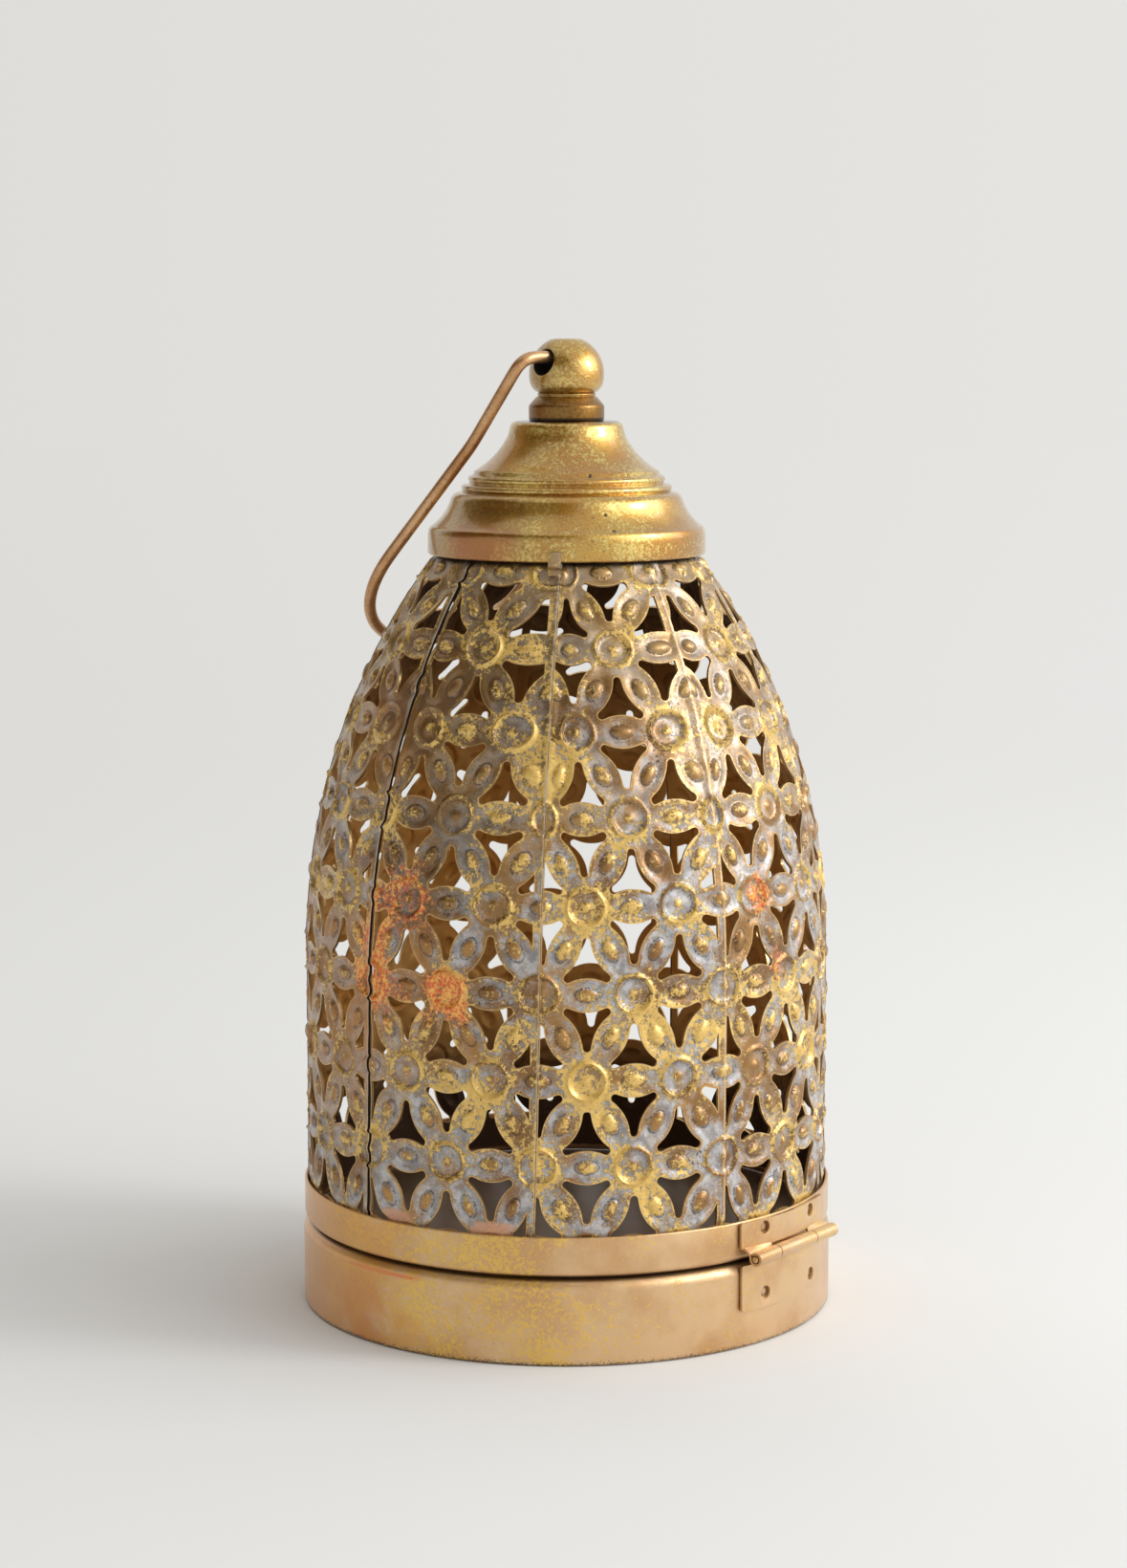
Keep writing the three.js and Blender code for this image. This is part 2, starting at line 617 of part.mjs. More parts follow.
function lowerLeaf() {
  const knuckles = [[-MIDDLE_KNUCKLE_HALF, MIDDLE_KNUCKLE_HALF]];
  let solid = leaf(PAN_R + FIT, lowerLeafZ, PIN_Z, knuckles, PIN_Z - KNUCKLE_R);
  [1, -1].forEach((side) => {
    const [near, far] = [side * MIDDLE_KNUCKLE_HALF, side * 2 * LEAF_HALF];
    const low = spot(GORE_R - LEAF_HALF, Math.min(near, far), PIN_Z - knuckleClear);
    const high = spot(PIN_X + knuckleClear, Math.max(near, far), PIN_Z + knuckleClear);
    solid = solid.subtract(box(low, high));
  });
  rivetAngles.forEach((angle) => {
    solid = drilled(solid, RIVET_R + FIT, angle, lowerRivetZ);
  });
  return solid;
}

// Rivet or stud along Z: its shank goes down from Z = 0, with a domed head above and a tail spread below
const PLAIN = { r: 0, h: 0 };
function rivet(shankR, length, head, tail) {
  const profile = [flat(0, -length - tail.h)];
  if (tail.h > 0) {
    profile.push(flat(tail.r, -length - tail.h), flat(tail.r, -length));
  }
  profile.push(flat(shankR, -length), flat(shankR, 0));
  if (head.h > 0) {
    profile.push(flat(head.r, 0), flat(head.r, head.h / 2), flat(head.r / 2, head.h));
  }
  profile.push(flat(0, head.h));
  return geometryOf(turned(profile, RIVET_SIDES));
}

// Stands a rivet on the drum, with its head facing out at an angle from +X
function onDrum(name, geometry, finish, angle, radius, z) {
  const holder = new THREE.Group();
  holder.rotation.z = angle;
  lantern.add(holder);
  const mesh = addPiece(name, geometry, finish, holder);
  mesh.position.set(radius, 0, z);
  mesh.rotation.y = Math.PI / 2;
}

// Hook of the catch on the XY plane, its eye at the origin and its arm hanging down
function hook() {
  const half = HOOK_ARM / 2;
  const foot = -HOOK_LENGTH;
  const arm = new THREE.Shape([flat(-half, 0), flat(-half, foot), flat(half, foot), flat(half, 0)]);
  const disc = (y, r) => new THREE.Shape().absarc(0, y, r, 0, 2 * Math.PI, false);
  const neckR = STUD_NECK_R + FIT;
  const mouth = new THREE.Shape();
  const swing = (2 * HOOK_END_R) / HOOK_LENGTH;
  mouth.absarc(0, 0, HOOK_LENGTH + neckR, -Math.PI / 2, -Math.PI / 2 + swing, false);
  mouth.absarc(0, 0, HOOK_LENGTH - neckR, -Math.PI / 2 + swing, -Math.PI / 2, true);
  const steps = PIN_SIDES / 2;
  return raised(arm, 0, HOOK_T)
    .add(raised(disc(0, HOOK_EYE_R), 0, HOOK_T, steps))
    .add(raised(disc(foot, HOOK_END_R), 0, HOOK_T, steps))
    .subtract(raised(disc(0, PIVOT_R + FIT), -HOOK_T, 2 * HOOK_T, steps))
    .subtract(raised(disc(foot, neckR), -HOOK_T, 2 * HOOK_T, steps))
    .subtract(raised(mouth, -HOOK_T, 2 * HOOK_T, steps / 2));
}

function buildLantern() {
  addPiece('base_pan', geometryOf(pan()), COPPER);
  addPiece('collar_ring', geometryOf(collar()), COPPER);

  const panel = gore();
  for (let i = 0; i < GORES; i += 1) {
    addPiece(`shell_panel_${i + 1}`, panel, GILT).rotation.z = (i * 2 * Math.PI) / GORES;
  }

  addPiece('cap', geometryOf(cap()), BRASS).position.z = CAP_Z;
  const washerZ = CAP_TOP_Z - SHEET - FIT - WASHER_H;
  addPiece('finial_washer', geometryOf(washer()), BRASS).position.z = washerZ;
  addPiece('finial_nut', geometryOf(nut()), BRASS).position.z = washerZ - FIT - NUT_H;

  const crown = new THREE.Group();
  crown.rotation.z = FINIAL_TURN;
  lantern.add(crown);
  addPiece('finial', geometryOf(finial()), BRASS, crown).position.z = FINIAL_Z;
  const wire = addPiece('bail', geometryOf(bail()), BRONZE, crown);
  wire.position.z = BAIL_Z;
  wire.rotation.y = -bailLean();

  addPiece('hinge_upper_leaf', geometryOf(upperLeaf()), COPPER);
  addPiece('hinge_lower_leaf', geometryOf(lowerLeaf()), COPPER);
  const pinHalf = KNUCKLE_HALF + PIN_END;
  addPiece('hinge_pin', geometryOf(hingeBar(PIN_R, -pinHalf, pinHalf)), COPPER);

  const seat = FIT + LEAF_T - RIVET_SUNK;
  const upperRivet = rivet(RIVET_R, seat + SHEET, PLAIN, PLAIN);
  const lowerLength = PAN_R + seat - PAN_IN_R + FIT;
  const lowerRivet = rivet(RIVET_R, lowerLength, PLAIN, { r: RIVET_TAIL_R, h: RIVET_TAIL_H });
  rivetAngles.forEach((angle, i) => {
    onDrum(`hinge_upper_rivet_${i + 1}`, upperRivet, COPPER, angle, COLLAR_R + seat, upperRivetZ);
    onDrum(`hinge_lower_rivet_${i + 1}`, lowerRivet, COPPER, angle, PAN_R + seat, lowerRivetZ);
  });

  const hookR = PAN_R + FIT;
  const catchSide = new THREE.Group();
  catchSide.rotation.set(Math.PI / 2, 0, -Math.PI / 2, 'ZYX');
  catchSide.position.set(-hookR, 0, hookZ);
  lantern.add(catchSide);
  addPiece('latch_hook', geometryOf(hook()), COPPER, catchSide).rotation.z = -HOOK_PARKED;
  const headFace = hookR + HOOK_T + FIT;
  const pivot = rivet(PIVOT_R, headFace - COLLAR_IN_R, { r: PIVOT_HEAD_R, h: PIVOT_HEAD_H }, PLAIN);
  onDrum('latch_rivet', pivot, COPPER, Math.PI, headFace, hookZ);
  const studNeck = headFace - PAN_IN_R + FIT;
  const studHead = { r: STUD_HEAD_R, h: STUD_HEAD_H };
  const stud = rivet(STUD_NECK_R, studNeck, studHead, studHead);
  onDrum('latch_stud', stud, COPPER, Math.PI, headFace, studZ);
}

buildLantern();

export default lantern;
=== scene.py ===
"""Pierced metal candle lantern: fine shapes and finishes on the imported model.

Shapes are worked out in millimetres in the lantern's own frame: Z up, the hinge on +X and the catch on -X.
"""
import json
import math

import bpy
from mathutils import Matrix, Vector, noise
from mathutils.geometry import delaunay_2d_cdt
from mathutils.kdtree import KDTree


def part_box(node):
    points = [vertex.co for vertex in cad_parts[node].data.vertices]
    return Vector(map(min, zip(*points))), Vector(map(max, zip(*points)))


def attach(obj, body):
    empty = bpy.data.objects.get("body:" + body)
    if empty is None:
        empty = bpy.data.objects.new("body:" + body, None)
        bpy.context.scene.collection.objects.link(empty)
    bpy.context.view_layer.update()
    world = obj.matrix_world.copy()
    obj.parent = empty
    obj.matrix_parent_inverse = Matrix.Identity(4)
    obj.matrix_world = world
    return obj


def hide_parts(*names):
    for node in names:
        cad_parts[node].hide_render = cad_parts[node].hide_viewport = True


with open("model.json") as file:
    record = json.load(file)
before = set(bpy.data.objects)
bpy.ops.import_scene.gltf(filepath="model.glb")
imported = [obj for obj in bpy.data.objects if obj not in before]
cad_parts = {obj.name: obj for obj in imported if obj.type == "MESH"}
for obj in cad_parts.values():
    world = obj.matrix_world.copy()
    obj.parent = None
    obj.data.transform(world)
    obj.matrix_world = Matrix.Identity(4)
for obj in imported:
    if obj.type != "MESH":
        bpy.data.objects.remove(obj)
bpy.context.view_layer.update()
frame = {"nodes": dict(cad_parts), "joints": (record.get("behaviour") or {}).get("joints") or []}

MM = 0.001
TURN = 2 * math.pi


def reach(node):
    """Lowest and highest corner of a node, in millimetres."""
    low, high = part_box(node)
    return low / MM, high / MM


def pivot(name):
    """Place of a joint, in millimetres, and its axis."""
    joint = next(row for row in frame["joints"] if row["name"] == name)
    return Vector(joint["pos_m"]) / MM, Vector(joint["axis"])


# Sheets and clearances
FIT = 0.3
SHEET = 0.8
GORE_SHEET = 0.7

# Pan and collar
PAN_R = reach("base_pan")[1].x
PAN_H = reach("base_pan")[1].z
PAN_SHOULDER = 3.0
PAN_HEM_H = 3.0
COLLAR_R = reach("collar_ring")[1].x
COLLAR_Z = reach("collar_ring")[0].z
COLLAR_TOP_Z = reach("collar_ring")[1].z
COLLAR_BEND = 1.6
COLLAR_LEDGE = 1.0
DRUM_SIDES = 192

# Gores
GORES = 9
GORE_R = 64.0
GORE_TOP_R = 31.9
GORE_Z = reach("shell_panel_1")[0].z
GORE_TUCK = 3.0
WALL_H = 67.0
SEAM_GAP = 0.4
SEAM_LINE = 0.1
SELVEDGES = (1.2, 0.25, 1.8)
OPEN_SEAM_GORE = 7
# Seams at the front, listed by the gore on their left: shift at the foot and under the cap
SEAM_LEANS = {6: (-1.8, 1.0), 7: (-1.2, 2.2), 8: (1.2, 1.4)}
FIRST_ROW = 24.9
ROW_PITCH = 20.3

# Cap and finial
CAP_Z = reach("cap")[0].z
CAP_R = reach("cap")[1].x
CAP_TOP_Z = reach("cap")[1].z
FINIAL_Z = CAP_TOP_Z + FIT
FINIAL_LOW_Z = reach("finial")[0].z
FINIAL_TOP_Z = reach("finial")[1].z
BAIL_PIVOT, BAIL_AXIS = pivot("bail_swing")
FINIAL_TURN = math.atan2(BAIL_AXIS.y, BAIL_AXIS.x) - math.pi / 2

# Hinge and catch
HINGE_PIN, _ = pivot("shell_hinge")
HOOK_PIVOT, _ = pivot("latch_swing")
LEAF_T = 0.7
LEAF_HALF = 18.0
KNUCKLE_R = 1.7
KNUCKLE_T = 0.6

DOME_Z = COLLAR_Z + WALL_H
DOME_H = CAP_Z - DOME_Z
DOME_DROP = GORE_R - GORE_TOP_R
DOME_ARC = (DOME_H ** 2 + DOME_DROP ** 2) / (2 * DOME_DROP)


# Outlines

def around(radius, angle, centre=(0.0, 0.0)):
    """Point of a circle, at an angle from +X."""
    return Vector((centre[0] + radius * math.cos(angle), centre[1] + radius * math.sin(angle)))


def arc(centre, radius, start, end, steps):
    """Points of an arc, its two ends included, with angles in degrees."""
    angles = [math.radians(start + (end - start) * i / steps) for i in range(steps + 1)]
    return [around(radius, angle, centre) for angle in angles]


def bend(start, control, end, steps):
    """Points of a quadratic curve, without its start."""
    shares = [i / steps for i in range(1, steps + 1)]
    start, control, end = Vector(start), Vector(control), Vector(end)
    return [start * (1 - t) ** 2 + control * 2 * t * (1 - t) + end * t * t for t in shares]


def bent_on(line, *bends):
    """A line continued by quadratic curves, each given by its control, its end and its steps."""
    for control, end, steps in bends:
        line = line + bend(line[-1], control, end, steps)
    return line


def eased(points, radius, steps=3):
    """A closed outline with each corner rounded by about a radius."""
    rounded = []
    for i, corner in enumerate(points):
        before, after = Vector(points[i - 1]), Vector(points[(i + 1) % len(points)])
        corner = Vector(corner)
        back, on = before - corner, after - corner
        start = corner + back * min(0.45, radius / back.length)
        end = corner + on * min(0.45, radius / on.length)
        rounded += [start] + bend(start, corner, end, steps)
    return rounded


def step(value, low, high):
    """Smooth rise from 0 at low to 1 at high."""
    share = min(1.0, max(0.0, (value - low) / (high - low)))
    return share * share * (3 - 2 * share)


# Meshes

def add_object(name, data):
    """A new object in the scene that shows a mesh, a lamp or a camera."""
    thing = bpy.data.objects.new(name, data)
    bpy.context.scene.collection.objects.link(thing)
    return thing


def new_mesh(name, points, faces, finishes):
    """A mesh from points in millimetres."""
    mesh = bpy.data.meshes.new(name)
    mesh.from_pydata([Vector(point) * MM for point in points], [], faces)
    for finish in finishes:
        mesh.materials.append(finish)
    return mesh


def make_piece(name, points, faces, finishes, body, slot, nodes=(), kinds=None, crease=40, marks=None):
    """A mesh in the lantern's frame that rides on a body. Kinds number each face's finish."""
    mesh = new_mesh(name, points, faces, finishes)
    if kinds:
        mesh.polygons.foreach_set("material_index", kinds)
    for mark, values in (marks or {}).items():
        mesh.attributes.new(mark, "FLOAT", "POINT").data.foreach_set("value", values)
    mesh.shade_smooth()
    mesh.set_sharp_from_angle(angle=math.radians(crease))
    piece = add_object(name, mesh)
    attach(piece, body)
    if nodes:
        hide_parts(*nodes)
    return piece


DENT_SPREAD = 22


def turned(profile, sides, closed=True, dent=0.0):
    """Points and faces of a profile of radius and height turned about Z. A dent wavers the radius inwards."""
    points = []
    rings = []
    for radius, height in profile:
        count = sides if radius > 1e-6 else 1
        rings.append([len(points) + i % count for i in range(sides)])
        for i in range(count):
            spot = Vector((*around(radius, TURN * i / sides), height))
            depth = dent * (0.5 + 0.5 * noise.noise(spot / DENT_SPREAD))
            scale = 1 - depth / max(radius, 1.0)
            points.append((spot.x * scale, spot.y * scale, spot.z))
    pairs = list(zip(rings, rings[1:]))
    if closed:
        pairs.append((rings[-1], rings[0]))
    faces = []
    for low, high in pairs:
        for i in range(sides):
            j = (i + 1) % sides
            corners = [low[i], low[j], high[j], high[i]]
            face = [c for k, c in enumerate(corners) if c != corners[k - 1]]
            if len(face) > 2:
                faces.append(face)
    return points, faces


def moved(points, matrix):
    return [matrix @ Vector(point) for point in points]


def heading(line, i):
    """Direction of a line of points at one of them."""
    return (line[min(i + 1, len(line) - 1)] - line[max(i - 1, 0)]).normalized()


def lofted(sections):
    """Points and faces of a solid through closed sections of equal counts."""
    count = len(sections[0])
    points = [point for section in sections for point in section]
    faces = []
    for i in range(len(sections) - 1):
        for k in range(count):
            j = (k + 1) % count
            faces.append([i * count + k, (i + 1) * count + k, (i + 1) * count + j, i * count + j])
    last = (len(sections) - 1) * count
    faces.append(list(range(count)))
    faces.append([last + k for k in range(count)][::-1])
    return points, faces


def swept(line, radius, sides):
    """Points and faces of a round bar along a line of points."""
    ring = [around(radius, TURN * k / sides) for k in range(sides)]
    across = heading(line, 0).orthogonal().normalized()
    sections = []
    for i, spot in enumerate(line):
        along = heading(line, i)
        across = (across - along * across.dot(along)).normalized()
        up = along.cross(across)
        sections.append([spot + across * turn.x + up * turn.y for turn in ring])
    return lofted(sections[::-1])


def joined(*meshes):
    """Several meshes of points and faces as one."""
    points, faces = [], []
    for more_points, more_faces in meshes:
        faces += [[len(points) + i for i in face] for face in more_faces]
        points += list(more_points)
    return points, faces


def tree_of(points):
    tree = KDTree(len(points))
    for i, point in enumerate(points):
        tree.insert((point[0], point[1], 0.0), i)
    tree.balance()
    return tree


def is_inside(point, loop):
    inside = False
    for i, b in enumerate(loop):
        a = loop[i - 1]
        if (a.y > point.y) != (b.y > point.y):
            if point.x < a.x + (b.x - a.x) * (point.y - a.y) / (b.y - a.y):
                inside = not inside
    return inside


FILL_CLEAR = 0.22


def cut_lines(loops, fills):
    """Points and triangles of a flat sheet with every loop as edges. Fills too near a loop are left out."""
    lines = [point for loop in loops for point in loop]
    near = tree_of(lines)
    fills = [point for point in fills if near.find((point[0], point[1], 0.0))[2] > FILL_CLEAR]
    edges = []
    for loop in loops:
        start = len(edges)
        edges += [(start + i, start + (i + 1) % len(loop)) for i in range(len(loop))]
    points, _, triangles, *_ = delaunay_2d_cdt(lines + fills, edges, [], 0, 1e-5)
    return points, triangles


def centre_of(points, triangle):
    return sum((points[i] for i in triangle), Vector((0.0, 0.0))) / 3


# Kinds of a sheet's faces
OUTER, INNER, WALL, SEAM = 0, 1, 2, 3


class PressedSheet:
    """A flat cut sheet, ready to be wrapped and thickened. Rim is how far each point is from a cut edge."""

    def __init__(self, points, triangles):
        used = sorted({i for triangle in triangles for i in triangle})
        number = {old: new for new, old in enumerate(used)}
        self.points = [points[i] for i in used]
        self.triangles = [[number[i] for i in triangle] for triangle in triangles]
        sides = {(t[k - 1], t[k]) for t in self.triangles for k in range(3)}
        self.edges = [(a, b) for a, b in sides if (b, a) not in sides]
        self.edges.sort()
        cut = tree_of([self.points[a] for a, _ in self.edges])
        self.rim = [cut.find((point.x, point.y, 0.0))[2] for point in self.points]

    def wrapped(self, wrap, rises, thickness):
        """Points, faces and kinds of the sheet, with wrap(point, offset) as its place in space."""
        deep = len(self.points)
        rows = list(zip(self.points, rises))
        points = [wrap(point, rise) for point, rise in rows]
        points += [wrap(point, rise - thickness) for point, rise in rows]
        faces = [list(triangle) for triangle in self.triangles]
        faces += [[a + deep, c + deep, b + deep] for a, b, c in self.triangles]
        faces += [[a, a + deep, b + deep, b] for a, b in self.edges]
        count = len(self.triangles)
        kinds = [OUTER] * count + [INNER] * count + [WALL] * len(self.edges)
        return points, faces, kinds


def cut_plate(outline, holes, fills=()):
    """A flat sheet inside an outline, with holes."""
    points, triangles = cut_lines([outline, *holes], fills)

    def is_metal(triangle):
        centre = centre_of(points, triangle)
        return is_inside(centre, outline) and not any(is_inside(centre, hole) for hole in holes)

    return PressedSheet(points, [triangle for triangle in triangles if is_metal(triangle)])


# Finishes

NUMBER, VECTOR = "NodeSocketFloat", "NodeSocketVector"
GRAIN_BUMP = {"Strength": 0.6, "Distance": 0.12 * MM}


def paint(code):
    """Linear colour of a hexadecimal screen colour."""
    shares = [int(code[i:i + 2], 16) / 255 for i in (1, 3, 5)]
    linear = [s / 12.92 if s <= 0.04045 else ((s + 0.055) / 1.055) ** 2.4 for s in shares]
    return (*linear, 1.0)


class Tree:
    """Short calls for the nodes of one material or group. A text as a value is a colour's code."""

    def __init__(self, tree):
        self.tree = tree

    def node(self, kind, inputs=None, **settings):
        node = self.tree.nodes.new(kind)
        for name, value in settings.items():
            setattr(node, name, value)
        for name, value in (inputs or {}).items():
            self.put(node.inputs[name], value)
        return node

    def put(self, socket, value):
        if isinstance(value, bpy.types.NodeSocket):
            self.tree.links.new(value, socket)
        else:
            socket.default_value = paint(value) if isinstance(value, str) else value

    def math(self, operation, a, b=0.0, c=0.0):
        return self.node("ShaderNodeMath", {0: a, 1: b, 2: c}, operation=operation).outputs[0]

    def times(self, a, b):
        return a if b == 1.0 else self.math("MULTIPLY", a, b)

    def less(self, a, b):
        return self.math("SUBTRACT", a, b)

    def total(self, base, *parts):
        """A base with other values added. Each part is a value and its share."""
        for value, share in parts:
            base = self.math("MULTIPLY_ADD", value, share, base)
        return base

    def most(self, *parts):
        """The greatest of some values, at least 0. Each part is a value and its share."""
        greatest = 0.0
        for value, share in parts:
            greatest = self.math("MAXIMUM", self.times(value, share), greatest)
        return greatest

    def rise(self, value, low, high):
        """Smooth rise from 0 at low to 1 at high."""
        inputs = {"Value": value, "From Min": low, "From Max": high}
        return self.node("ShaderNodeMapRange", inputs, interpolation_type="SMOOTHSTEP").outputs[0]

    def mix(self, share, a, b):
        return self.node("ShaderNodeMix", {0: share, 6: a, 7: b}, data_type="RGBA").outputs[2]

    def tinted(self, colour, *tints):
        """A colour mixed towards others in turn. Each tint is a mask, its share and a colour."""
        for mask, share, other in tints:
            colour = self.mix(self.times(mask, share), colour, other)
        return colour

    def level(self, share, a, b):
        return self.node("ShaderNodeMix", {0: share, 2: a, 3: b}, data_type="FLOAT").outputs[0]

    def grain(self, vector, scale, detail=3.0, roughness=0.55):
        inputs = {"Vector": vector, "Scale": scale, "Detail": detail, "Roughness": roughness}
        return self.node("ShaderNodeTexNoise", inputs).outputs[0]

    def measure(self, operation, a, b=(0.0, 0.0, 0.0)):
        """A number from one or two vectors."""
        return self.node("ShaderNodeVectorMath", {0: a, 1: b}, operation=operation).outputs["Value"]

    def place(self):
        """Place on the lantern, in millimetres."""
        spot = self.node("ShaderNodeTexCoord").outputs["Object"]
        scaled = self.node("ShaderNodeVectorMath", {0: spot, "Scale": 1 / MM}, operation="SCALE")
        return scaled.outputs[0]

    def height(self):
        return self.node("ShaderNodeSeparateXYZ", {0: self.place()}).outputs["Z"]

    def mark(self, name):
        """A value that the mesh holds at its points."""
        return self.node("ShaderNodeAttribute", attribute_name=name).outputs["Fac"]

    def use(self, group, **inputs):
        return self.node("ShaderNodeGroup", inputs, node_tree=group).outputs


def new_group(name, inputs, outputs):
    """An empty node group. Returns its tree, its input sockets and its output node."""
    group = bpy.data.node_groups.new(name, "ShaderNodeTree")
    for socket, kind in inputs.items():
        group.interface.new_socket(name=socket, in_out="INPUT", socket_type=kind)
    for socket in outputs:
        group.interface.new_socket(name=socket, in_out="OUTPUT", socket_type=NUMBER)
    tree = Tree(group)
    return tree, tree.node("NodeGroupInput").outputs, tree.node("NodeGroupOutput").inputs


def gold_leaf_group():
    """Flakes of gold leaf with a dark fringe. Cover brings more of them, Ragged breaks their edges up."""
    kinds = {"Cover": NUMBER, "Size": NUMBER, "Ragged": NUMBER}
    tree, given, result = new_group("gold_leaf", kinds, ["Leaf", "Fringe"])
    spot = tree.place()
    broad = tree.grain(spot, 0.07, 3.0)
    flakes = tree.grain(spot, tree.math("DIVIDE", 1.0, given["Size"]), 8.0, 0.75)
    level = tree.total(given["Cover"], (broad, 0.7), (tree.less(flakes, 0.5), given["Ragged"]))
    tree.put(result["Leaf"], tree.rise(level, 0.5, 0.54))
    ring = tree.less(tree.rise(level, 0.43, 0.48), tree.rise(level, 0.5, 0.53))
    tree.put(result["Fringe"], tree.math("MAXIMUM", ring, 0.0))
    return tree.tree


def specks_group():
    """Small dark specks and pits, in patches."""
    tree, given, result = new_group("dark_specks", {"Size": NUMBER, "Cover": NUMBER}, ["Speck"])
    spot = tree.place()
    fine = tree.grain(spot, tree.math("DIVIDE", 1.0, given["Size"]), 4.0, 0.6)
    level = tree.total(given["Cover"], (fine, 1.0), (tree.grain(spot, 0.09, 2.0), 0.5))
    tree.put(result["Speck"], tree.rise(level, 0.98, 1.02))
    return tree.tree


def patch_group():
    """A flecked patch round a place given in millimetres, and the soft glow under it."""
    kinds = {"Centre": VECTOR, "Radius": NUMBER}
    tree, given, result = new_group("flecked_patch", kinds, ["Flecks", "Glow"])
    spot = tree.place()
    gap = tree.measure("DISTANCE", spot, given["Centre"])
    near = tree.less(1.0, tree.math("DIVIDE", gap, given["Radius"]))
    near = tree.total(near, (tree.less(tree.grain(spot, 0.16, 3.0), 0.5), 1.6))
    fleck = tree.less(tree.grain(spot, 0.8, 6.0, 0.65), 0.5)
    level = tree.total(tree.math("MINIMUM", near, 0.45), (fleck, 3.2))
    tree.put(result["Flecks"], tree.rise(level, 0.36, 0.5))
    tree.put(result["Glow"], tree.rise(near, 0.0, 0.6))
    return tree.tree


def satin_group():
    """Fine satin grain, half-millimetre flecks and soft clouds of an old lacquered finish."""
    tree, _, result = new_group("satin_grain", {}, ["Grain", "Fleck", "Cloud"])
    spot = tree.place()
    tree.put(result["Grain"], tree.grain(spot, 2.4, 5.0, 0.65))
    tree.put(result["Fleck"], tree.grain(spot, 1.3, 2.0, 0.5))
    tree.put(result["Cloud"], tree.rise(tree.grain(spot, 0.05, 4.0, 0.6), 0.35, 0.65))
    return tree.tree


GOLD_LEAF = gold_leaf_group()
SPECKS = specks_group()
FLECKED_PATCH = patch_group()
SATIN = satin_group()


def drum_spot(angle, height, radius):
    """Place on the drum, at an angle in degrees from +X."""
    flat = around(radius, math.radians(angle))
    return (flat.x, flat.y, height)


def patches(tree, places):
    """Flecks and glow of several patches: each has an angle, a height, the radius it lies at and its size."""
    flecks, glow = 0.0, 0.0
    for angle, height, radius, size in places:
        patch = tree.use(FLECKED_PATCH, Centre=drum_spot(angle, height, radius), Radius=size)
        flecks = tree.math("MAXIMUM", patch["Flecks"], flecks)
        glow = tree.math("MAXIMUM", patch["Glow"], glow)
    return flecks, glow


def glow_of(tree, *places):
    return patches(tree, places)[1]


def bare_tree(owner):
    """Empty node tree of a material or the world."""
    owner.use_nodes = True
    owner.node_tree.nodes.clear()
    return Tree(owner.node_tree)


def new_material(name, finish):
    """A material whose finish gives the shader's inputs and the height of its grain."""
    material = bpy.data.materials.new(name)
    tree = bare_tree(material)
    inputs, height = finish(tree)
    shader = tree.node("ShaderNodeBsdfPrincipled", inputs)
    if height is not None:
        bump = tree.node("ShaderNodeBump", {"Height": height, **GRAIN_BUMP})
        tree.put(shader.inputs["Normal"], bump.outputs[0])
    output = tree.node("ShaderNodeOutputMaterial")
    tree.put(output.inputs["Surface"], shader.outputs[0])
    return material


# Places of marks on the gores: angle from +X in degrees, height, radius and size in millimetres
RED_STAINS = [(-92, 107, 62.7, 13), (-97, 88, 64, 12), (-80, 86, 64, 9), (-99, 98, 63.5, 9),
              (-8, 108, 62.7, 6), (-3, 91, 64, 5)]
GOLD_PATCHES = [(-51, 110, 62.7, 20), (-50, 67, 64, 26), (-70, 62, 64, 16), (-25, 88, 64, 20),
                (-85, 70, 64, 14), (-58, 142, 57, 14), (10, 80, 64, 20), (120, 90, 64, 30), (200, 70, 64, 30)]
WARM_PLACES = [(-114, 80, 64, 48), (-100, 150, 54, 30)]
# Painted shade: darker olive-brown patches on the upper dome, left of the view, for the dark it reflects
# there
DOME_SHADE_PLACES = [(-82, 158, 50, 34), (-84, 120, 60, 24)]
BARE_COPPER = [(-93, 34, 64, 8), (-70, 32, 64, 7), (60, 36, 64, 8), (170, 34, 64, 7)]
# Heights over which the gores change: upper and lower part of the outside, and of the inside, where painted
# shade darkens it
UPPER_PART = (130.0, 195.0)
LOWER_PART = (75.0, 40.0)
UPPER_INSIDE_SHADE = (110.0, 178.0)
LOWER_INSIDE_SHADE = (62.0, 36.0)


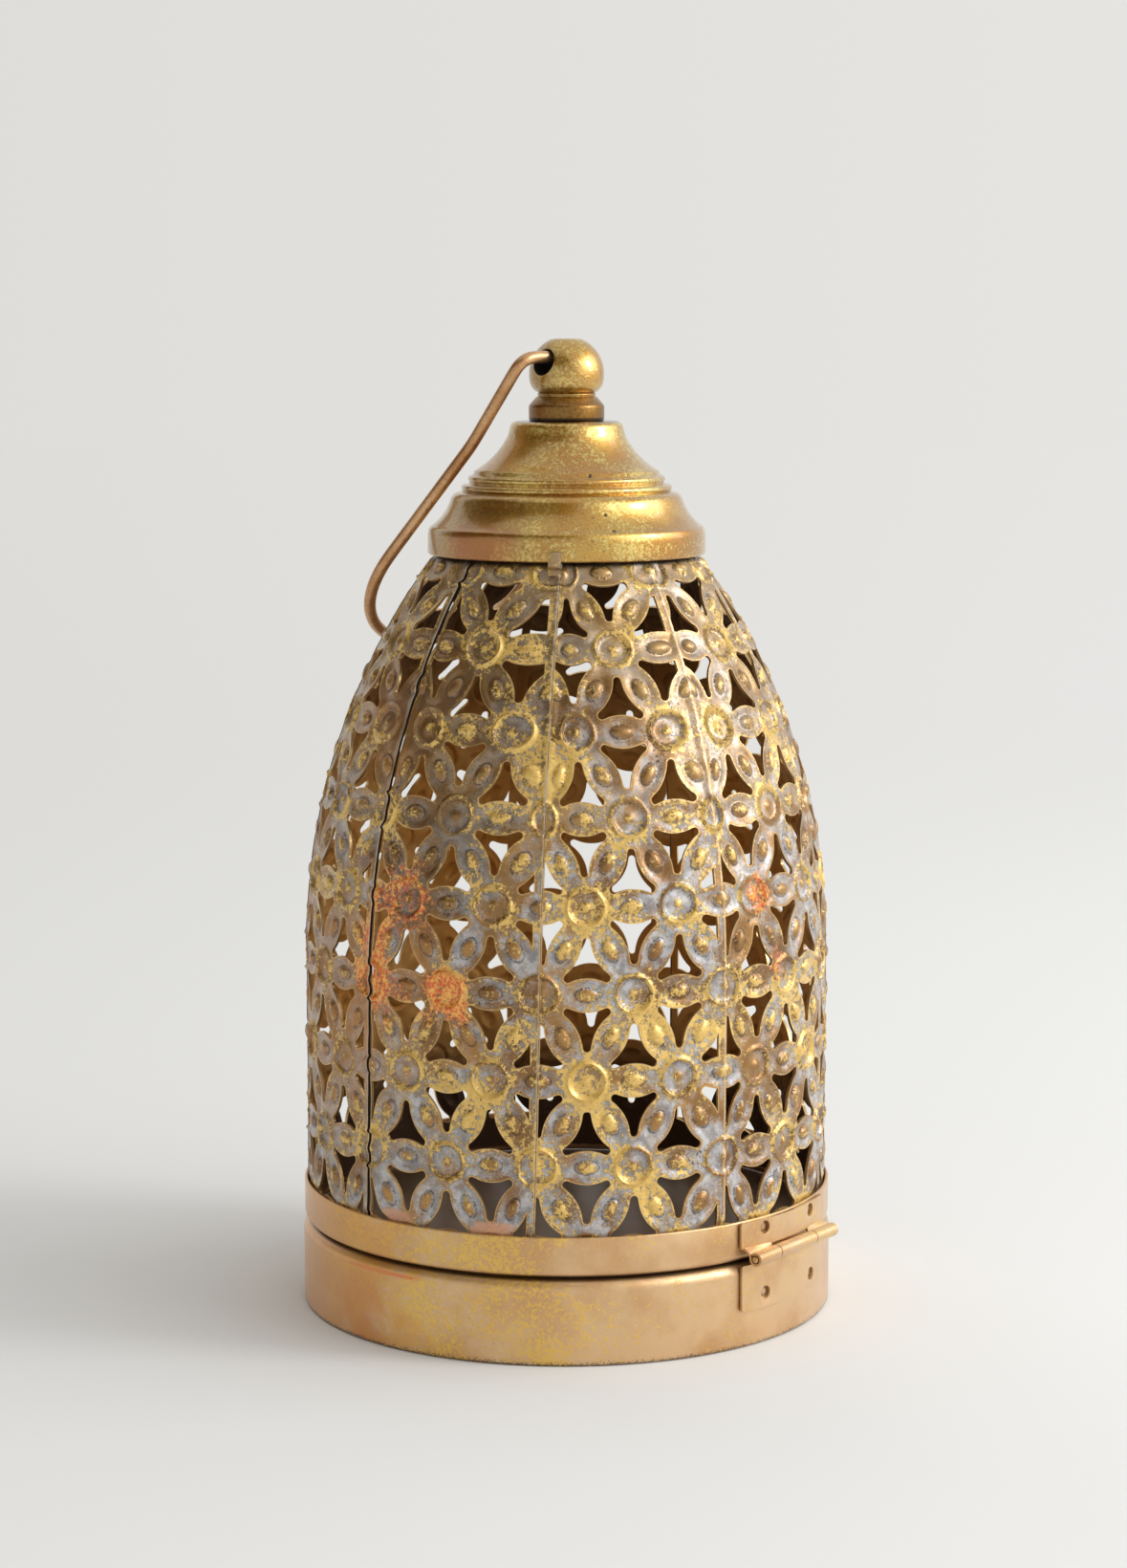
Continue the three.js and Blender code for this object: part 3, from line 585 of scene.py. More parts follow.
def gilt(tree):
    """Outside of the gores: brown gilding, gold leaf, a grey field and heat stains, with painted shade in the
    creases, under the cap and on the upper dome, and painted highlights along hole edges and the seam lip.
    """
    satin = tree.use(SATIN)
    spot = tree.place()
    height = tree.height()
    ragged = tree.less(satin["Grain"], 0.5)
    broad = tree.less(tree.grain(spot, 0.1, 4.0, 0.6), 0.5)
    uneven = tree.less(tree.grain(spot, 0.07, 3.0, 0.6), 0.5)
    up = tree.rise(tree.total(height, (satin["Cloud"], 40.0)), *UPPER_PART)
    low = tree.rise(height, *LOWER_PART)
    warm = glow_of(tree, *WARM_PLACES)
    # Painted shade on the upper dome, tinted dark olive brown below
    dome_shade = glow_of(tree, *DOME_SHADE_PLACES)
    red, stain = patches(tree, RED_STAINS)

    field = tree.total(tree.mark("field"), (low, 0.1), (broad, 2.4), (ragged, 1.2))
    patina = tree.times(tree.rise(field, 0.7, 1.2), tree.level(up, 0.95, 0.4))
    patina = tree.times(patina, tree.level(warm, 1.0, 0.45))
    streak = tree.rise(tree.grain(spot, 0.35, 4.0, 0.6), 0.35, 0.65)
    grey = tree.mix(streak, "#8b8b8e", "#c6c5c6")
    brown = tree.mix(satin["Cloud"], "#8a6029", "#bb8c48")
    ground = tree.tinted(brown, (up, 1.0, "#a8854e"), (warm, 0.5, "#c4884a"), (patina, 1.0, grey),
                         (dome_shade, 0.5, "#5c451a"))

    cover = tree.total(tree.level(up, -0.07, -0.05), (tree.mark("gild"), 0.3), (uneven, 0.9), (broad, 0.4),
                       (stain, 0.28), (glow_of(tree, *GOLD_PATCHES), 0.14))
    leaf = tree.use(GOLD_LEAF, Cover=cover, Size=1.1, Ragged=2.4)
    orange = tree.mix(tree.rise(satin["Fleck"], 0.42, 0.58), "#df521a", "#f2b450")
    yellow = tree.mix(satin["Fleck"], "#c8942e", "#f6d880")
    gold = tree.tinted(yellow, (stain, 0.85, orange))

    speck = tree.use(SPECKS, Size=0.8, Cover=0.06)["Speck"]
    # Dark creases round the rings, dishes and seeds: painted shade, with some dirt
    crease = tree.rise(tree.total(tree.mark("crease"), (ragged, 2.0)), 0.45, 1.1)
    dark = tree.most((leaf["Fringe"], 0.85), (speck, 0.85), (crease, 0.85), (stain, 0.4))
    foot = tree.rise(height, COLLAR_TOP_Z + 3.2, COLLAR_TOP_Z + 2.2)
    bare = tree.times(glow_of(tree, *BARE_COPPER), foot)
    # Bright line round the cut edges: rubbed metal with a painted highlight
    edge = tree.rise(tree.total(tree.mark("rim"), (ragged, 0.5)), 0.4, 0.1)
    # Pale line along the seam's raised lip, stronger towards the top: painted highlight
    lip = tree.times(tree.mark("lip"), tree.level(up, 0.4, 0.9))
    # The last tint is painted shade under the cap's rim, near black
    colour = tree.tinted(ground, (dark, 1.0, "#2e2112"), (leaf["Leaf"], 1.0, gold), (bare, 0.85, "#d9a07c"),
                         (red, 0.4, orange), (edge, 0.7, "#d9b67c"), (lip, 1.0, "#e6dccf"),
                         (tree.mark("painted_shade"), 1.0, "#140d06"))

    matt = tree.times(patina, tree.less(1.0, leaf["Leaf"]))
    rough = tree.level(tree.most((matt, 1.0), (dark, 1.0)), tree.level(satin["Grain"], 0.34, 0.5), 0.55)
    metallic = tree.level(tree.most((matt, 1.0), (leaf["Leaf"], 1.0)), 0.85, 0.45)
    inputs = {"Base Color": colour, "Roughness": rough, "Metallic": metallic,
              "Coat Weight": 0.9, "Coat Roughness": 0.3}
    return inputs, tree.total(tree.times(satin["Grain"], 0.6), (leaf["Leaf"], 0.5), (dark, -0.5))


def gilt_inside(tree):
    """Inside of the gores: old brown gilding, darkened by painted shade towards the top and towards the foot.
    """
    satin = tree.use(SATIN)
    height = tree.height()
    base = tree.mix(satin["Cloud"], "#c98a34", "#e2ae62")
    # Painted shade: the inside goes dark brown towards the top under the cap and towards the foot by the
    # collar
    colour = tree.tinted(base, (tree.rise(height, *UPPER_INSIDE_SHADE), 1.0, "#4a2f10"),
                         (tree.rise(height, *LOWER_INSIDE_SHADE), 1.0, "#4a3420"))
    inputs = {"Base Color": colour, "Roughness": tree.level(satin["Grain"], 0.4, 0.6), "Metallic": 0.35}
    return inputs, satin["Grain"]


def gilt_edge(tree):
    """Bare cut edges of the holes, rubbed bright."""
    satin = tree.use(SATIN)
    colour = tree.mix(satin["Grain"], "#b98d52", "#ecd09c")
    return {"Base Color": colour, "Roughness": tree.level(satin["Cloud"], 0.3, 0.45), "Metallic": 0.95}, None


# Marks on the pan and the collar: angle from +X in degrees, height, radius and size in millimetres
COPPER_GOLD = [(-84, 12, PAN_R, 26), (-74, 27, COLLAR_R, 30), (-104, 27, COLLAR_R, 22), (-60, 9, PAN_R, 18),
               (100, 18, PAN_R, 28), (180, 20, PAN_R, 26)]
# Painted reflection: a thin orange line on the pan's shoulder just under the collar
COPPER_REFLECTION_LINE = (-96, PAN_H - 2.6, PAN_R, 16)
COPPER_BLUSH = (-102, 8, PAN_R, 12)
# Painted reflection: the pan's left side made warmer and more orange, for the shaded floor it reflects
COPPER_PAINTED_REFLECTION = (-122, 16, PAN_R, 52)


def copper(tree):
    """Pan, collar, hinge and catch: lacquered pink copper under rubbed yellow gold, with a worn dark foot,
    painted shade in the collar's gap and round sunk rivets, and painted reflections on the pan.
    """
    satin = tree.use(SATIN)
    height = tree.height()
    cover = tree.level(glow_of(tree, *COPPER_GOLD), 0.0, 0.17)
    leaf = tree.use(GOLD_LEAF, Cover=cover, Size=0.9, Ragged=1.8)
    # Painted reflection line under the collar
    streak = tree.math("ABSOLUTE", tree.less(height, COPPER_REFLECTION_LINE[1]))
    streak = tree.times(tree.rise(streak, 0.8, 0.1), glow_of(tree, COPPER_REFLECTION_LINE))

    speck = tree.use(SPECKS, Size=0.7, Cover=-0.03)["Speck"]
    # Dark foot of the pan: wear and painted contact shade along the floor
    worn = tree.rise(tree.total(height, (tree.less(satin["Grain"], 0.5), 6.0)), 0.9, 0.3)
    flat = tree.node("ShaderNodeVectorMath", {0: tree.place(), 1: (1.0, 1.0, 0.0)}, operation="MULTIPLY")
    away = tree.measure("LENGTH", flat.outputs[0])
    # Painted shade in the gap where the collar's foot meets the pan's top edge
    gap = tree.rise(height, PAN_H - 0.9, PAN_H - 0.2)
    gap = tree.times(gap, tree.rise(height, COLLAR_Z + 0.9, COLLAR_Z + 0.4))
    gap = tree.times(gap, tree.rise(away, PAN_R + 0.25, PAN_R + 0.1))
    dark = tree.most((speck, 0.7), (worn, 0.75), (gap, 0.7), (tree.mark("painted_shade"), 1.0))

    base = tree.mix(satin["Cloud"], "#cea06c", "#e0bc8e")
    colour = tree.tinted(base, (leaf["Leaf"], 0.85, "#e8be56"), (streak, 0.8, "#e0683a"),
                         (glow_of(tree, COPPER_BLUSH), 0.3, "#d0703a"),
                         (glow_of(tree, COPPER_PAINTED_REFLECTION), 0.5, "#e09a44"), (dark, 1.0, "#38210e"))
    rough = tree.level(leaf["Leaf"], tree.level(satin["Grain"], 0.34, 0.46), 0.38)
    inputs = {"Base Color": colour, "Roughness": rough, "Metallic": 0.9,
              "Coat Weight": 0.8, "Coat Roughness": 0.28}
    return inputs, tree.total(satin["Grain"], (leaf["Leaf"], 0.4))


# Pits in the cap: angle from +X in degrees, height above the rim and radius
CAP_PITS = [(-42, 10.2, 29.3), (-36, 10.8, 29.2), (-40, 19.8, 22.4), (-34, 7.2, 32.6), (-35, 5.0, 34.5),
            (-44, 5.2, 34.4), (-13, 4.0, 35.0), (-39, 3.1, 35.0)]
CAP_RED = [(-90, CAP_Z + 1, CAP_R, 10), (-102, CAP_Z + 3, CAP_R, 7)]
# Painted shade: a darker patch on the cap's skirt at its left side
CAP_PAINTED_SHADE = (-108, CAP_Z + 2, CAP_R, 26)
# Painted shade: angle of the finial's darker side, left of the view
FINIAL_SHADED_SIDE = -144.1


def brass(tree):
    """Cap and finial: lacquered antique gold, finely flecked and pitted, browner on the finial's flange, with
    painted shade at the finial's seat, on the finial's left side and on the skirt's left.
    """
    satin = tree.use(SATIN)
    height = tree.height()
    leaf = tree.use(GOLD_LEAF, Cover=0.13, Size=0.9, Ragged=1.4)
    dark = tree.most((tree.rise(satin["Grain"], 0.48, 0.36), 0.65), (leaf["Fringe"], 0.35))
    foot = tree.rise(height, FINIAL_Z + 8.5, FINIAL_Z + 3.2)
    foot = tree.times(tree.rise(height, FINIAL_Z - 0.2, FINIAL_Z), foot)
    browner = tree.mix(satin["Grain"], "#4e2c0c", "#8e5c24")
    # Painted shade on the finial's left side, above its seat
    shade_side = tree.measure("DOT_PRODUCT", tree.place(), drum_spot(FINIAL_SHADED_SIDE, 0.0, 1.0))
    shade_side = tree.times(tree.rise(shade_side, 0.0, 8.0), tree.rise(height, FINIAL_Z, FINIAL_Z + 2.0))
    # Painted shade: a dark ring where the finial sits on the cap
    seat = tree.rise(tree.math("ABSOLUTE", tree.less(height, FINIAL_Z)), 0.7, 0.4)
    pit = tree.use(SPECKS, Size=1.0, Cover=-0.02)["Speck"]
    for angle, rise, radius in CAP_PITS:
        away = tree.measure("DISTANCE", tree.place(), drum_spot(angle, CAP_Z + rise, radius))
        pit = tree.math("MAXIMUM", pit, tree.rise(away, 0.7, 0.4))

    base = tree.mix(satin["Cloud"], "#be8732", "#d0a648")
    colour = tree.tinted(base, (leaf["Leaf"], 0.7, "#e8d27c"), (dark, 1.0, "#64420f"), (foot, 0.8, browner),
                         (shade_side, 0.5, "#7a480e"), (seat, 0.85, "#1c1208"), (pit, 0.85, "#2c1d0c"),
                         (glow_of(tree, *CAP_RED), 0.4, "#c8581e"),
                         (glow_of(tree, CAP_PAINTED_SHADE), 0.5, "#8a5012"))
    inputs = {"Base Color": colour, "Roughness": tree.level(satin["Grain"], 0.24, 0.4), "Metallic": 0.95,
              "Coat Weight": tree.level(foot, 0.9, 0.2), "Coat Roughness": 0.15, "Coat IOR": 1.65}
    return inputs, tree.total(satin["Grain"], (pit, -1.2))


def painted_hole_shade(tree):
    """Painted shade inside the ball's cross hole and on the gores' seam edges: near black."""
    satin = tree.use(SATIN)
    colour = tree.mix(satin["Grain"], "#0b0907", "#241a10")
    inputs = {"Base Color": colour, "Roughness": tree.level(satin["Grain"], 0.55, 0.8), "Metallic": 0.2}
    return inputs, satin["Grain"]


def bronze(tree):
    """Wire of the bail: golden bronze with dark wear."""
    satin = tree.use(SATIN)
    speck = tree.use(SPECKS, Size=0.8, Cover=0.03)["Speck"]
    worn = tree.most((tree.rise(satin["Fleck"], 0.5, 0.7), 0.3), (speck, 0.7))
    base = tree.mix(satin["Cloud"], "#c08c5a", "#deb284")
    colour = tree.mix(worn, base, "#5a4022")
    inputs = {"Base Color": colour, "Roughness": tree.level(satin["Grain"], 0.28, 0.46), "Metallic": 0.9,
              "Coat Weight": 0.4, "Coat Roughness": 0.25}
    return inputs, satin["Grain"]


def felt(tree):
    """Dull brown of the card beside the stage."""
    return {"Base Color": "#5a4426", "Roughness": 0.9}, None


GILT = new_material("gilt_outside", gilt)
GILT_INSIDE = new_material("gilt_inside", gilt_inside)
GILT_EDGE = new_material("gilt_cut_edge", gilt_edge)
COPPER = new_material("copper_satin", copper)
BRASS = new_material("antique_brass", brass)
HOLE_SHADE = new_material("painted_hole_shade", painted_hole_shade)
BRONZE = new_material("bronze_wire", bronze)


# Pan and collar

def make_pan():
    shoulder = (PAN_R - PAN_SHOULDER, PAN_H - PAN_SHOULDER)
    hem_r = PAN_R - 2 * SHEET
    profile = [(0.0, PAN_H), (PAN_R * 0.5, PAN_H)]
    profile += arc(shoulder, PAN_SHOULDER, 90, 0, 10)
    profile += [(PAN_R, PAN_H * 0.6), (PAN_R, PAN_H * 0.3)]
    profile += arc((PAN_R - SHEET, SHEET), SHEET, 0, -180, 8)
    profile += [(hem_r, PAN_HEM_H), (hem_r + SHEET * 0.5, PAN_HEM_H + SHEET * 0.7)]
    profile += [(PAN_R - SHEET, PAN_HEM_H + SHEET)]
    profile += arc(shoulder, PAN_SHOULDER - SHEET, 0, 90, 6)
    profile.append((0.0, PAN_H - SHEET))
    points, faces = turned(profile[::-1], DRUM_SIDES, closed=False, dent=0.1)
    make_piece("pan", points, faces, [COPPER], "base", "copper_satin", ["base_pan"])


def make_collar():
    middle = (COLLAR_R - COLLAR_BEND, COLLAR_Z + COLLAR_BEND)
    ledge_r = middle[0] - COLLAR_LEDGE
    inner_r = COLLAR_R - SHEET
    edge = SHEET / 2
    # The ledge's inner edge has a burr that reaches down to the pan
    burr_w, burr_gap = 0.4, 0.05
    profile = [(ledge_r, PAN_H + burr_gap), (ledge_r + burr_w, COLLAR_Z)]
    profile += arc(middle, COLLAR_BEND, -90, 0, 8)
    profile += [(COLLAR_R, COLLAR_Z + 5)]
    profile += arc((COLLAR_R - edge, COLLAR_TOP_Z - edge), edge, 0, 180, 6)
    profile += [(inner_r, COLLAR_Z + 5)]
    profile += arc(middle, COLLAR_BEND - SHEET, 0, -90, 5)
    profile.append((ledge_r, COLLAR_Z + SHEET))
    points, faces = turned(profile, DRUM_SIDES, dent=0.12)
    make_piece("collar", points, faces, [COPPER], "shell", "copper_satin", ["collar_ring"])


# Gores, laid out flat: x is the arc from the middle line, y the length along the meridian

FLOWER_PITCH = GORE_R * math.pi / GORES - SEAM_GAP / 2
UPRIGHT = DOME_Z - GORE_Z
RIM_LENGTH = UPRIGHT + DOME_ARC * math.asin(DOME_H / DOME_ARC)
GORE_LENGTH = UPRIGHT + DOME_ARC * math.asin((DOME_H + GORE_TUCK) / DOME_ARC)
ROW_STRETCH = ROW_PITCH / (FLOWER_PITCH * math.sqrt(3) / 2)

# Flower: a dot in a dish with a raised ring. Petal: a raised seed in a moat.
# Hole: three bulging sides with a bank round them
DOT_R = 1.2
DISH_R = 3.75
RING_R = 4.35
RING_FOOT_R = 5.05
SEED = (2.55, 1.55)
BANK = (0.6, 1.75)
HOLE_SIDE_R = 10.03
HOLE_SIDE_FAR = 12.63
HOLE_TIP_R = 0.95
HOLE_TIP_FAR = 5.25
HOLE_LEAST_AREA = 5.0
# Heights of the pressed parts
DOT_RISE = 0.6
DISH_DROP = 0.42
RING_RISE = 0.6
SEED_RISE = 0.8
MOAT_DROP = 0.2
BANK_RISE = 0.35
LIP_RISE = 0.15


def meridian(length):
    """Radius, height and lean of the gore's outside."""
    lean = max(0.0, length - UPRIGHT) / DOME_ARC
    height = GORE_Z + min(length, UPRIGHT) + DOME_ARC * math.sin(lean)
    return GORE_R - DOME_ARC * (1 - math.cos(lean)), height, lean


def gore_half(length):
    return meridian(length)[0] * math.pi / GORES - SEAM_LINE / 2


def row_shift(row):
    return FLOWER_PITCH / 2 if row % 2 else 0.0


def lattice():
    """Middles of the flowers, of the petals with their turn, and of the holes with their turn."""
    flowers, petals, holes = [], [], []
    slant = math.atan2(ROW_PITCH, FLOWER_PITCH / 2)
    for row in range(-2, math.ceil(GORE_LENGTH / ROW_PITCH)):
        low = FIRST_ROW + row * ROW_PITCH
        for column in range(-3, 4):
            x = column * FLOWER_PITCH + row_shift(row)
            if abs(x) > FLOWER_PITCH * 2.2:
                continue
            flowers.append(Vector((x, low)))
            petals.append((Vector((x + FLOWER_PITCH / 2, low)), 0.0))
            petals.append((Vector((x + FLOWER_PITCH / 4, low + ROW_PITCH / 2)), slant))
            petals.append((Vector((x - FLOWER_PITCH / 4, low + ROW_PITCH / 2)), -slant))
            holes.append((Vector((x + FLOWER_PITCH / 2, low + ROW_PITCH / 3)), 90.0))
            holes.append((Vector((x, low + ROW_PITCH * 2 / 3)), -90.0))
    return flowers, petals, holes


FLOWERS, PETALS, HOLES = lattice()
FLOWER_TREE = tree_of(FLOWERS)
PETAL_TREE = tree_of([middle for middle, _ in PETALS])
HOLE_TREE = tree_of([middle for middle, _ in HOLES])


def hole_outline(middle, turn):
    """A hole with its first tip at a turn in degrees from +X."""
    loop = []
    for corner in (turn, turn + 120, turn + 240):
        tip = around(HOLE_TIP_FAR, math.radians(corner))
        side = around(HOLE_SIDE_FAR, math.radians(corner + 60))
        swing = math.degrees(math.atan2(*(side - tip).yx)) - corner
        swing = (swing + 180) % 360 - 180
        loop += arc(tip, HOLE_TIP_R, corner - swing, corner + swing, 7)
        start = corner + swing + 180
        loop += arc(side, HOLE_SIDE_R, start, 2 * (corner + 240) - start, 11)[1:-1]
    return [middle + Vector((point.x, point.y * ROW_STRETCH)) for point in loop]


def ridge(value, middle, spread):
    """1 at the middle, falling to 0 on both sides."""
    return math.exp(-((value - middle) / spread) ** 2)


def pressing(point, rim):
    """The pattern at a point: its height, and its shares of a crease, which is painted as shade, the flat
    field and the leaf.
    """
    flat = (point.x, point.y, 0.0)
    far = FLOWER_TREE.find(flat)[2]
    dot = ridge(far, 0.0, DOT_R)
    dish = 1 - step(far, DISH_R - 0.4, DISH_R)
    ring = step(far, DISH_R - 0.1, RING_R) * (1 - step(far, RING_R, RING_FOOT_R))
    middle, turn = PETALS[PETAL_TREE.find(flat)[1]]
    away = Matrix.Rotation(-turn, 2) @ (point - middle)
    beside = math.hypot(away.x / SEED[0], away.y / SEED[1])
    seed = math.sqrt(max(0.0, 1 - beside ** 2))
    bank = (1 - step(rim, *BANK)) * (1 - seed)

    half = gore_half(point.y)
    lip = step(point.x, half - 0.9, half)
    moat = ridge(beside, 1.3, 0.25)
    rise = DOT_RISE * dot - DISH_DROP * dish + RING_RISE * ring + SEED_RISE * seed - MOAT_DROP * moat
    rise += BANK_RISE * bank + LIP_RISE * lip
    shown = step(point.y, COLLAR_TOP_Z - GORE_Z, COLLAR_TOP_Z - GORE_Z + 1.2)
    shown *= 1 - step(point.y, RIM_LENGTH - 2.0, RIM_LENGTH - 0.5)
    crest = max(ring, seed, dot, 1 - step(rim, 0.15, 0.8))
    round_flower = max(ridge(far, DISH_R - 0.15, 0.2), 0.6 * ridge(far, RING_FOOT_R, 0.25))
    crease = max(round_flower, ridge(beside, 1.12, 0.18))
    gild = max(ridge(far, RING_R + 0.2, 1.0), ridge(far, 0.0, 1.0))
    gild = max(gild, 0.7 * seed, 0.6 * (1 - step(rim, 0.25, 0.9)))
    return rise * shown, crease, 1 - crest * crest, gild


def pattern_fills():
    """Points that carry the relief: round the flowers, the seeds and the holes, and along the seam's lip."""
    rings = [(0.5, 6), (0.9, 9), (1.3, 10), (1.9, 12), (2.7, 16), (3.35, 20), (3.6, 22), (DISH_R, 24),
             (4.05, 26), (RING_R, 26), (4.7, 26), (RING_FOOT_R, 26), (5.5, 24)]
    seed_rings = [(0.4, 8), (0.72, 12), (0.9, 16), (1.0, 18), (1.12, 18), (1.35, 18), (1.65, 18)]
    fills = []
    for middle in FLOWERS:
        fills.append(middle)
        fills += [middle + around(radius, TURN * i / count) for radius, count in rings for i in range(count)]
    for middle, turn in PETALS:
        fills.append(middle)
        for share, count in seed_rings:
            ring = [around(share, TURN * i / count) for i in range(count)]
            sized = [Vector((p.x * SEED[0], p.y * SEED[1])) for p in ring]
            fills += [middle + Matrix.Rotation(turn, 2) @ spot for spot in sized]
    for hole in HOLES:
        loop = hole_outline(*hole)
        centre = hole[0]
        for away in BANK:
            fills += [point + (point - centre).normalized() * away for point in loop]
    for i in range(1, int(GORE_LENGTH)):
        fills += [Vector((gore_half(i) - inset, i)) for inset in (0.45, 0.9, 1.5)]
    return [point for point in fills if abs(point.x) < FLOWER_PITCH and 0 < point.y < GORE_LENGTH]


def is_on_gore(point, ends=0.0, left=0.0, right=0.0):
    """Whether a point lies on the flat gore, inside margins at its two ends and its two sides."""
    half = gore_half(point.y) if 0 < point.y < GORE_LENGTH else 0.0
    return ends < point.y < GORE_LENGTH - ends and left - half < point.x < half - right


def gore_outline(ends=0.0, left=0.0, right=0.0):
    """Outline of the flat gore, moved in by margins."""
    side_steps, top_steps, foot_steps = 210, 20, 40
    lengths = [ends + (GORE_LENGTH - 2 * ends) * i / side_steps for i in range(side_steps + 1)]
    high = [Vector((gore_half(length) - right, length)) for length in lengths]
    low = [Vector((left - gore_half(length), length)) for length in lengths[::-1]]
    top = [high[-1].lerp(low[0], i / top_steps) for i in range(1, top_steps)]
    foot = [low[-1].lerp(high[0], i / foot_steps) for i in range(1, foot_steps)]
    return high + top + low + foot


def flat_gore():
    holes = [hole_outline(*hole) for hole in HOLES]
    shown = [loop for loop in holes if any(is_on_gore(point, *SELVEDGES) for point in loop)]
    loops = [gore_outline(), gore_outline(*SELVEDGES), *shown]
    points, triangles = cut_lines(loops, pattern_fills())
    sheet = []
    openings = {}
    for triangle in triangles:
        centre = centre_of(points, triangle)
        if not is_on_gore(centre):
            continue
        number = HOLE_TREE.find((centre.x, centre.y, 0.0))[1]
        if is_on_gore(centre, *SELVEDGES) and is_inside(centre, holes[number]):
            openings.setdefault(number, []).append(triangle)
        else:
            sheet.append(triangle)
    for cut in openings.values():
        area = sum(abs((points[b] - points[a]).cross(points[c] - points[a])) / 2 for a, b, c in cut)
        if area < HOLE_LEAST_AREA:
            sheet += cut
    return PressedSheet(points, sheet)


def open_seam(point):
    """How far the left edge of the gore with the open seam stands back from it."""
    mean_gap, ragged = 0.85, 0.6
    gap = mean_gap + ragged * noise.noise(Vector((point.y / 8, 0.0, 3.7)))
    half = gore_half(point.y)
    return gap * step(-point.x, 0.8 * half, half)


SEAM_LEAN_REACH = 5.0


def seam_lean(gore, point):
    """Shift of a point of a gore beside the leaning seams on its two sides."""
    share = max(0.0, meridian(point.y)[1] - COLLAR_TOP_Z) / (CAP_Z - COLLAR_TOP_Z)
    half = gore_half(point.y)
    shift = 0.0
    for seam, away in ((gore, half - point.x), ((gore - 1) % GORES, half + point.x)):
        foot, top = SEAM_LEANS.get(seam, (0.0, 0.0))
        shift += (foot + (top - foot) * share ** 0.75) * ridge(away, 0.0, SEAM_LEAN_REACH)
    return shift


def waver(spot):
    """Dents of hand work in the sheet."""
    return 0.14 * noise.noise(spot / 9) + 0.06 * noise.noise(spot / 2.2)


def make_gores():
    sheet = flat_gore()
    rows = [pressing(point, rim) for point, rim in zip(sheet.points, sheet.rim)]
    rises, creases, fields, gilds = zip(*rows)
    # Painted shade under the cap's rim: the top of each gore, tucked under the cap, goes near black
    painted_shade = [0.9 * step(meridian(point.y)[1], CAP_Z - 1.5, CAP_Z - 0.7) for point in sheet.points]
    # The lip mark carries the painted highlight along the seam's edge
    lip = [step(point.x, gore_half(point.y) - 0.35, gore_half(point.y) - 0.05) for point in sheet.points]
    marks = {"crease": creases, "field": fields, "gild": gilds, "rim": sheet.rim, "painted_shade": painted_shade, "lip": lip}
    marks = {name: list(values) * 2 for name, values in marks.items()}
    seams = [abs(sheet.points[a].x) > gore_half(sheet.points[a].y) - 0.1 for a, _ in sheet.edges]
    for i in range(GORES):
        turn = TURN * i / GORES

        def wrap(point, offset):
            radius, height, lean = meridian(point.y)
            across = point.x + seam_lean(i, point) + (open_seam(point) if i == OPEN_SEAM_GORE else 0.0)
            on_sheet = Vector((*around(radius, turn + across / radius), height))
            offset += waver(on_sheet)
            flat = around(radius + offset * math.cos(lean), turn + across / radius)
            return Vector((*flat, height + offset * math.sin(lean)))

        points, faces, kinds = sheet.wrapped(wrap, rises, GORE_SHEET)
        # Seam edges take the painted hole shade, so the seams read as dark slits
        kinds = kinds[:-len(seams)] + [SEAM if is_seam else WALL for is_seam in seams]
        finishes = [GILT, GILT_INSIDE, GILT_EDGE, HOLE_SHADE]
        nodes = [f"shell_panel_{i + 1}"]
        make_piece(f"gore_{i + 1}", points, faces, finishes, "shell", "gilt_sheet", nodes, kinds, 50, marks)


def make_seam_tab():
    """Strip of the gore left of the middle seam that stands up outside the cap's rim."""
    width, thick, top = 3.0, 0.45, 2.6
    turn = TURN * (OPEN_SEAM_GORE + 0.5) / GORES + SEAM_LEANS[OPEN_SEAM_GORE][1] / CAP_R
    low = RIM_LENGTH - 4.0
    start = [(meridian(low + i)[0] + 0.5, meridian(low + i)[1] + 0.3) for i in range(3)]
    edge = Vector((CAP_R + 0.35, CAP_Z - 0.2))
    line = [Vector(p) for p in start] + bend(start[-1], (CAP_R + 0.2, CAP_Z - 1.5), edge, 4)
    line += bend(edge, (CAP_R + 0.4, CAP_Z + 1.0), (CAP_R + 0.7, CAP_Z + top), 4)
    sections = []
    for radius, height in line:
        left = turn - width / radius
        corners = [(0.0, left), (thick, left), (thick, turn), (0.0, turn)]
        sections.append([Vector((*around(radius + out, side), height)) for out, side in corners])
    points, faces = lofted(sections)
    marks = {"rim": [1.0] * len(points), "gild": [0.3] * len(points), "crease": [0.5] * len(points),
             "lip": [0.0, 0.0, 0.2, 0.2] * len(sections)}
    make_piece("seam_tab", points, faces, [GILT], "shell", "gilt_sheet", crease=35, marks=marks)


# Cap, finial and bail

def cap_profile():
    """Outside of the cap, from its rim up: radius and height above the rim."""
    roll = 0.65
    profile = arc((CAP_R - roll, roll), roll, -180, 0, 8)
    profile += [(CAP_R, 2.2), (CAP_R, 4.2)]
    skirt = ((CAP_R, 6.7), (32.9, 7.0), 8)
    cove = ((29.9, 9.4), (28.6, 12.8), 10)
    shoulder = ((28.1, 15.0), (26.0, 15.2), 8)
    profile = bent_on(profile, skirt, cove, shoulder)
    profile += [(25.4, 15.25)]
    profile += arc((25.0, 16.15), 0.8, -55, 75, 6)
    profile += [(24.3, 17.1), (23.8, 17.25)]
    profile += arc((23.3, 18.3), 0.8, -45, 75, 6)
    profile += [(22.8, 19.4), (22.6, 20.2)]
    bell = ((17.4, 23.1), (14.6, 28.4), 12)
    neck = ((14.1, 29.6), (13.9, 30.8), 4)
    top = ((13.6, 32.3), (11.6, 32.3), 6)
    return [Vector(point) for point in bent_on(profile, bell, neck, top)]


